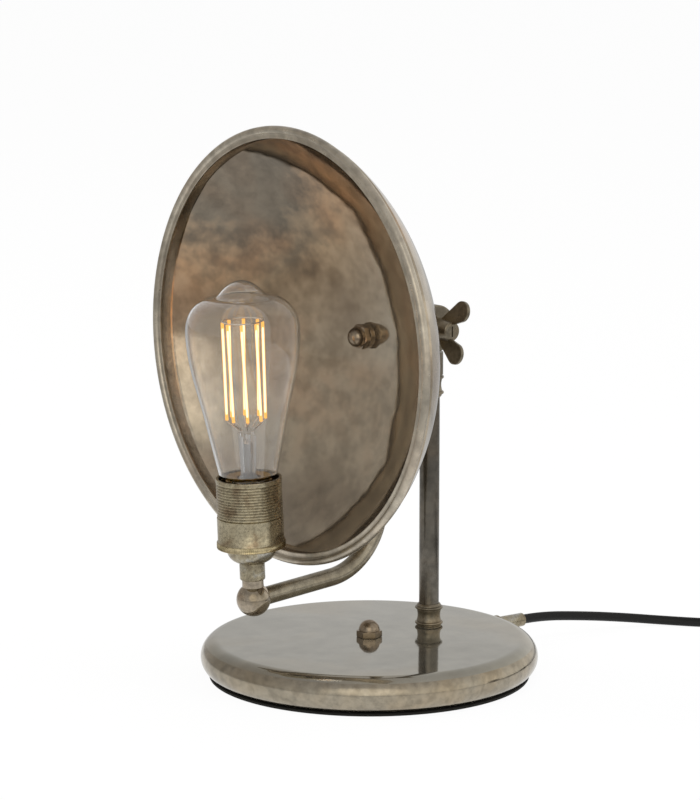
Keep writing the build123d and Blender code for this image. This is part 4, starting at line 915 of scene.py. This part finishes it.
class SEARCHLIGHT_OT_dish(Make, bpy.types.Operator):
    """Model the spun dish, its bezel, the nut in its middle and the hub behind it"""

    bl_idname = "searchlight.dish"
    bl_label = "Dish"

    def execute(self, context):
        # Along the head's axis from the pivot: the back of the dish, then its turned edge.
        back, wall, edge = 47.2, 1.2, 4.95
        flat = self.spin_dish(back, wall, edge)
        self.roll_bezel(back + self.mm("dish_depth") + edge)
        self.screw_on(back + flat, flat - wall)
        self.turn_hub(back)
        return {"FINISHED"}

    def spin_dish(self, back, wall, edge):
        """A flat middle and steeper sides: two tangent arcs, and a short straight edge. Gives the
        radius of the middle's arc."""
        radius, depth = self.mm("dish_radius"), self.mm("dish_depth")
        crown_turn, side_turn, step = 24, 32.5, 1.3
        crown, lean = radians(crown_turn), radians(crown_turn + side_turn)
        run, rise = sin(lean) - sin(crown), cos(crown) - cos(lean)
        scale = sin(crown) * rise - run * (1 - cos(crown))
        flat = (radius * rise - depth * run) / scale
        steep = (depth * sin(crown) - radius * (1 - cos(crown))) / scale
        off, centre = (flat - steep) * sin(crown), back + flat - (flat - steep) * cos(crown)
        hem, last = radius - wall, radius - 3.2
        inner_edge = centre - sqrt((steep - wall) ** 2 - (last - off) ** 2)
        inner_turn = degrees(atan2(last - off, centre - inner_edge)) - crown_turn
        dish = turned([
            (0, back), arc(0, back + flat, crown_turn, step),
            arc(off, centre, side_turn, step), (radius, back + depth + edge),
            (hem, back + depth + edge), (last, inner_edge),
            arc(off, centre, -inner_turn, step), arc(0, back + flat, -crown_turn, step),
        ], 256)
        place = standing(PIVOT, FORWARD)
        spun = piece("spun_dish", dish, place, "nickel", "head", "aged_nickel", "dish")
        # The turned edge under the bezel's lip takes the brown, satin finish of the nuts: painted
        # shade under the lip.
        lip_shade_width = 0.6
        spun.data.materials.append(finished("polished"))
        for face in spun.data.polygons:
            out = face.center - PIVOT
            out -= FORWARD * out.dot(FORWARD)
            if out.length > (last - lip_shade_width) * MM and out.dot(face.normal) < 0:
                face.material_index = 1
        return flat

    def roll_bezel(self, under):
        """A flat face with a bead on its inner edge, rolled around the hem of the dish."""
        thick, bead, bead_below, inner, lap = 1, 121.45, 1.05, 116.7, 2.05
        plane = under + thick
        # Its roll starts where the face meets it and ends 5 degrees past the underside.
        start = degrees(atan2(bead_below, -lap))
        bezel = turned([
            (inner, under), (inner, plane + 0.1, 0.3), (117.5, plane + 0.1, 0.3),
            (117.8, plane - 0.05), (119.1, plane - 0.05), (bead - lap, plane),
            arc(bead, plane - bead_below, -(start + 95), 12),
            (self.mm("dish_radius") + 0.05, under), (inner, under),
        ], 256)
        piece(
            "bezel", bezel, standing(PIVOT, FORWARD), "rim", "head", "aged_nickel", "dish_rim"
        )

    def screw_on(self, centre, inside):
        """A domed nut on its washer, whose rim rests inside the arc of the dish's middle. The arc
        has its centre this far ahead of the pivot, and this radius on its inside."""
        bore, rim, thick = 4.1, 7, 1.5
        washer = turned([(bore, 0), (rim, 0), (rim, thick, 0.2), (bore, thick), (bore, 0)], 64)
        join(washer, domed_nut(radians(20)), Matrix.Translation((0, 0, thick)))
        seat = centre - sqrt(inside**2 - rim**2)
        piece(
            "dish_nut", washer, standing(PIVOT + FORWARD * seat * MM, FORWARD), "polished", "head",
            "polished_nickel", "dish_washer", "dish_cap_nut",
        )

    def turn_hub(self, back):
        """The ball behind the dish, on its neck from the knuckle to the dish's back."""
        hub, neck, foot = 9.65, 6.1, 25.5
        neck_end = HUB - sqrt(hub**2 - neck**2)
        swing = 2 * degrees(atan2(HUB - neck_end, neck))
        ball = turned([
            (0, foot), (neck, foot), (neck, neck_end), arc(0, HUB, swing), (neck, back), (0, back),
        ])
        place = standing(PIVOT, FORWARD)
        piece("hub", ball, place, "casting", "head", "bronzed_brass", "head_hub")


class SEARCHLIGHT_OT_arm(Make, bpy.types.Operator):
    """Model the bent arm under the dish and the ball at its end"""

    bl_idname = "searchlight.arm"
    bl_label = "Arm"

    def execute(self, context):
        radius = self.mm("arm_radius")
        ball, neck, neck_end = self.mm("ball_radius"), 6.1, 11.8
        # Drawn with x forward and z up from the hub's middle. Its ends sink into hub and ball.
        sunk, bend_radius = 4.5, 39.0
        corner, reach = Vector((0, 0, -134.67)), (ELBOW - PIVOT) / MM
        elbow = Vector((reach.dot(FORWARD) - HUB, 0, reach.dot(HEAD_UP)))
        heading = (elbow - corner).normalized()
        angle = pi / 2 - atan2(-heading.z, heading.x)
        tangent = bend_radius * tan(angle / 2)
        bm = bmesh.new()
        bmesh.ops.create_circle(bm, segments=64, radius=radius)
        bmesh.ops.translate(bm, vec=(0, 0, -sunk), verts=bm.verts)
        self.push(bm, Vector((0, 0, corner.z + tangent + sunk)))
        self.bend(bm, (bend_radius, 0, corner.z + tangent), angle)
        self.push(bm, elbow - heading * sunk - (corner + heading * tangent))
        place = standing(PIVOT + FORWARD * HUB * MM, HEAD_UP, FORWARD)
        piece("bent_arm", bm, place, "arm", "head", "bronzed_steel", "arm_tube")
        neck_foot = sqrt(ball**2 - neck**2)
        swing = 90 + degrees(atan2(neck_foot, neck))
        knob = turned([(0, -ball), arc(0, 0, swing), (neck, neck_end), (0, neck_end)], 96)
        place = standing(ELBOW, HOLDER_UP)
        piece("elbow_knob", knob, place, "ball", "head", "bronzed_brass", "elbow_ball")
        return {"FINISHED"}

    def push(self, bm, shift):
        """Carries the open end of the tube straight on."""
        end = [e for e in bm.edges if e.is_wire] or self.end
        made = bmesh.ops.extrude_edge_only(bm, edges=end)["geom"]
        bmesh.ops.translate(bm, vec=shift, verts=new_verts(made))
        self.end = new_edges(made)

    def bend(self, bm, centre, angle):
        """Carries the open end of the tube on around a bend."""
        made = bmesh.ops.spin(
            bm, geom=self.end, cent=centre, axis=(0, -1, 0), angle=angle, steps=40
        )["geom_last"]
        self.end = new_edges(made)


class SEARCHLIGHT_OT_holder(Make, bpy.types.Operator):
    """Model the threaded lampholder"""

    bl_idname = "searchlight.holder"
    bl_label = "Lampholder"

    def execute(self, context):
        place = standing(ELBOW, HOLDER_UP)
        shell, bore = self.mm("holder_radius"), 5
        foot, seam, low, high = 11.8, 22.2, 30.8, 34.3
        neck = [(bore, foot), (7.2, foot, 0.8), (7.2, seam, 0.8), (bore, seam), (bore, foot)]
        piece(
            "holder_neck", turned(neck, 72), place, "brass", "head", "aged_brass", "holder_sleeve"
        )
        cap = [
            (bore, seam), (8.6, seam, 0.5), (11.8, 24.0, 1.6), (13.9, 27.6, 1.8), (14.1, low),
            (12.5, low), (bore, 24), (bore, seam),
        ]
        piece("holder_dome", turned(cap, 96), place, "brass", "head", "aged_brass", "holder_cap")
        # Every second column of the ring's wall is pressed in, which leaves its ridges.
        inside, outside, wall, half, pressed = 13.6, 19.4, 19, 1.5, 0.981
        ring = turned([
            (inside, low), (outside, low, 0.4), (outside, high, 0.4), (inside, high),
            (inside, low),
        ], 2 * self.sizes.knurls)
        for vert in ring.verts:
            around = round(atan2(vert.co.y, vert.co.x) / (pi / self.sizes.knurls))
            off_middle = abs(vert.co.z - (low + high) / 2)
            if around % 2 and vert.co.xy.length > wall and off_middle < half:
                vert.co.xy *= pressed
        piece(
            "holder_knurled_ring", ring, place, "ring", "head", "aged_brass", "holder_ring",
            sharp=60,
        )
        # A plain band, then a thread up to the mouth.
        inside, crest, root, mouth = 17.0, 18.65, 17.9, 70.8
        thread, pitch, turns = 48.2, 1.6, 13
        path = [(inside, high), (shell + 0.3, high), (shell, high + 0.6), (shell, thread)]
        for turn in range(turns):
            start = thread + turn * pitch
            path += [(root, start + 0.35, 0.15), (crest, start + 1.1, 0.3)]
        path += [(18.6, mouth - 1.2), (18.6, mouth, 0.3), (inside, mouth, 0.2), (inside, high)]
        piece(
            "holder_threaded_shell", turned(path, 128), place, "thread", "head", "aged_brass",
            "holder_shell", sharp=50,
        )
        finish_nodes("porcelain", "holder_insert")
        finish_nodes("bright_brass", "holder_contact_shell", "holder_centre_contact", "bulb_cap")
        return {"FINISHED"}


def curve_wire(bm, knots, smooth=16):
    """Draws a smooth wire in the XZ plane. A knot is a point, the direction that the wire goes
    there, and the handle lengths before and after it."""
    curve = bpy.data.curves.new("scrap", "CURVE")
    curve.dimensions = "3D"
    curve.resolution_u = smooth
    spline = curve.splines.new("BEZIER")
    spline.bezier_points.add(len(knots) - 1)
    for point, (radius, height, across, rise, before, after) in zip(spline.bezier_points, knots):
        place, way = Vector((radius, 0, height)), Vector((across, 0, rise)).normalized()
        point.co = place
        point.handle_left_type = point.handle_right_type = "FREE"
        point.handle_left = place - way * before
        point.handle_right = place + way * after
    holder = bpy.data.objects.new("scrap", curve)
    mesh = bpy.data.meshes.new_from_object(holder)
    bm.from_mesh(mesh)
    bpy.data.meshes.remove(mesh)
    bpy.data.objects.remove(holder)
    bpy.data.curves.remove(curve)


class SEARCHLIGHT_OT_bulb(Make, bpy.types.Operator):
    """Model the pear-shaped filament bulb"""

    bl_idname = "searchlight.bulb"
    bl_label = "Bulb"

    def execute(self, context):
        place = standing(ELBOW + HOLDER_UP * CAP_TOP * MM, HOLDER_UP)
        self.blow_envelope(place)
        self.string_sticks(place)
        self.press_stem(place)
        # The brass cap seen through the foot of the glass.
        cap = turned([(6.7, 1.8), (12.3, 2.4), (12.3, 1.9), (6.7, 1.3), (6.7, 1.8)], 64)
        piece("bulb_cap_inside", cap, place, "bright_brass", "bulb", "bright_brass")
        finish_nodes("lead", "bulb_support_wires")
        finish_nodes("black_glass", "bulb_insulator")
        finish_nodes("bright_brass", "bulb_tip_contact")
        return {"FINISHED"}

    def blow_envelope(self, place):
        """The pear-shaped glass, from the neck inside the cap to the tip."""
        widest = self.mm("bulb_radius")
        envelope = bmesh.new()
        curve_wire(envelope, [
            (11.7, -9, 0, 1, 1, 3), (11.7, 0, 0, 1, 3, 1.8), (16.7, 4.2, 0.22, 1, 2.5, 9),
            (23.0, 33.7, 0.2, 1, 10, 17), (widest, 84.5, 0, 1, 19, 9.0),
            (20.0, 103.3, -0.94, 0.34, 8.5, 2.5), (12.2, 106.4, -0.6, 0.8, 3, 2.5),
            (0, 113.3, -1, 0, 6, 1),
        ])
        spin_all(envelope, 128)
        shape = piece(
            "bulb_envelope", envelope, place, "glass", "bulb", "clear_glass", "bulb_glass",
            sharp=180,
        )
        wall = shape.modifiers.new("wall", "SOLIDIFY")
        wall.thickness = 0.8 * MM
        wall.offset = -1

    def string_sticks(self, place):
        """Eight twisted filament sticks: a glowing sheath around a string of chips."""
        sticks, first, twist = 8, radians(-33.2), radians(7.5)
        low, low_ring, high, high_ring = 34.7, 10.8, 89.7, 11.2
        sheath, chip, wide_chip, dark_end, bright_end = 0.9, 0.5, 0.62, 3.4, 6
        chips, sheaths = bmesh.new(), bmesh.new()
        for number in range(sticks):
            angle = first + 2 * pi / sticks * number
            twisted = angle - twist
            foot = Vector((low_ring * cos(angle), low_ring * sin(angle), low))
            top = Vector((high_ring * cos(twisted), high_ring * sin(twisted), high))
            stick, run = between(foot, top)
            path = [(0, 0), (sheath, 0, 0.2), (sheath, run, 0.2), (0, run)]
            join(sheaths, turned(path, 16), stick)
            path = [
                (0, dark_end), (chip, dark_end), (wide_chip, bright_end),
                (wide_chip, run - bright_end), (chip, run - dark_end), (0, run - dark_end),
            ]
            join(chips, turned(path, 10), stick)
        piece("bulb_chips", chips, place, "core", "bulb", "glowing_phosphor")
        piece("bulb_sticks", sheaths, place, "glow", "bulb", "glowing_phosphor", "bulb_led_sticks")

    def press_stem(self, place):
        """The pressed stem: a flared foot, a thin tube, and the glass rods sealed through it."""
        stem = turned([
            (10.8, -9), (10.8, -8), (6.6, 0, 1.5), (3.0, 5, 1.5), (2.7, 22, 1.0), (0, 23.5),
            (0, 22.5), (2.0, 21), (2.2, 5), (5.6, -0.6, 1.0), (9.6, -9), (10.8, -9),
        ], 48)
        rods, rod, low, high, twist = 6, 0.9, 3.9, 4.4, 0.3
        for number in range(rods):
            angle = radians(20 + 360 / rods * number)
            rise = 1.5 if number % 2 else 0
            foot = Vector((low * cos(angle), low * sin(angle), -1 + rise))
            top = Vector((high * cos(angle + twist), high * sin(angle + twist), 25.5 + rise))
            way, run = between(foot, top)
            join(stem, turned([(0, 0), (rod, 0, 0.3), (rod, run, 0.3), (0, run)], 16), way)
        piece("bulb_stem_press", stem, place, "stem_glass", "bulb", "clear_glass", "bulb_stem")


class SEARCHLIGHT_PT_panel(bpy.types.Panel):
    """Sizes, colours and pieces of the lamp"""

    bl_label = "Searchlight lamp"
    bl_idname = "SEARCHLIGHT_PT_panel"
    bl_space_type = "VIEW_3D"
    bl_region_type = "UI"
    bl_category = "Lamp"

    def draw(self, context):
        for group in (context.scene.searchlight_sizes, context.scene.searchlight_colours):
            for name in group.bl_rna.properties.keys():
                if name not in ("rna_type", "name"):
                    self.layout.prop(group, name)
        for operator in OPERATORS:
            self.layout.operator(operator.bl_idname)


OPERATORS = (
    SEARCHLIGHT_OT_stage,
    SEARCHLIGHT_OT_cord,
    SEARCHLIGHT_OT_base,
    SEARCHLIGHT_OT_column,
    SEARCHLIGHT_OT_dish,
    SEARCHLIGHT_OT_arm,
    SEARCHLIGHT_OT_holder,
    SEARCHLIGHT_OT_bulb,
)
CLASSES = (LampSizes, LampColours, *OPERATORS, SEARCHLIGHT_PT_panel)


def register():
    """Adds the lamp's classes and properties."""
    for kind in CLASSES:
        bpy.utils.register_class(kind)
    bpy.types.Scene.searchlight_sizes = PointerProperty(type=LampSizes)
    bpy.types.Scene.searchlight_colours = PointerProperty(type=LampColours)


def unregister():
    """Removes the lamp's classes and properties."""
    del bpy.types.Scene.searchlight_sizes
    del bpy.types.Scene.searchlight_colours
    for kind in reversed(CLASSES):
        bpy.utils.unregister_class(kind)


def main():
    """Builds the lamp."""
    register()
    for operator in OPERATORS:
        group, name = operator.bl_idname.split(".")
        getattr(getattr(bpy.ops, group), name)()


if __name__ == "__main__":
    main()
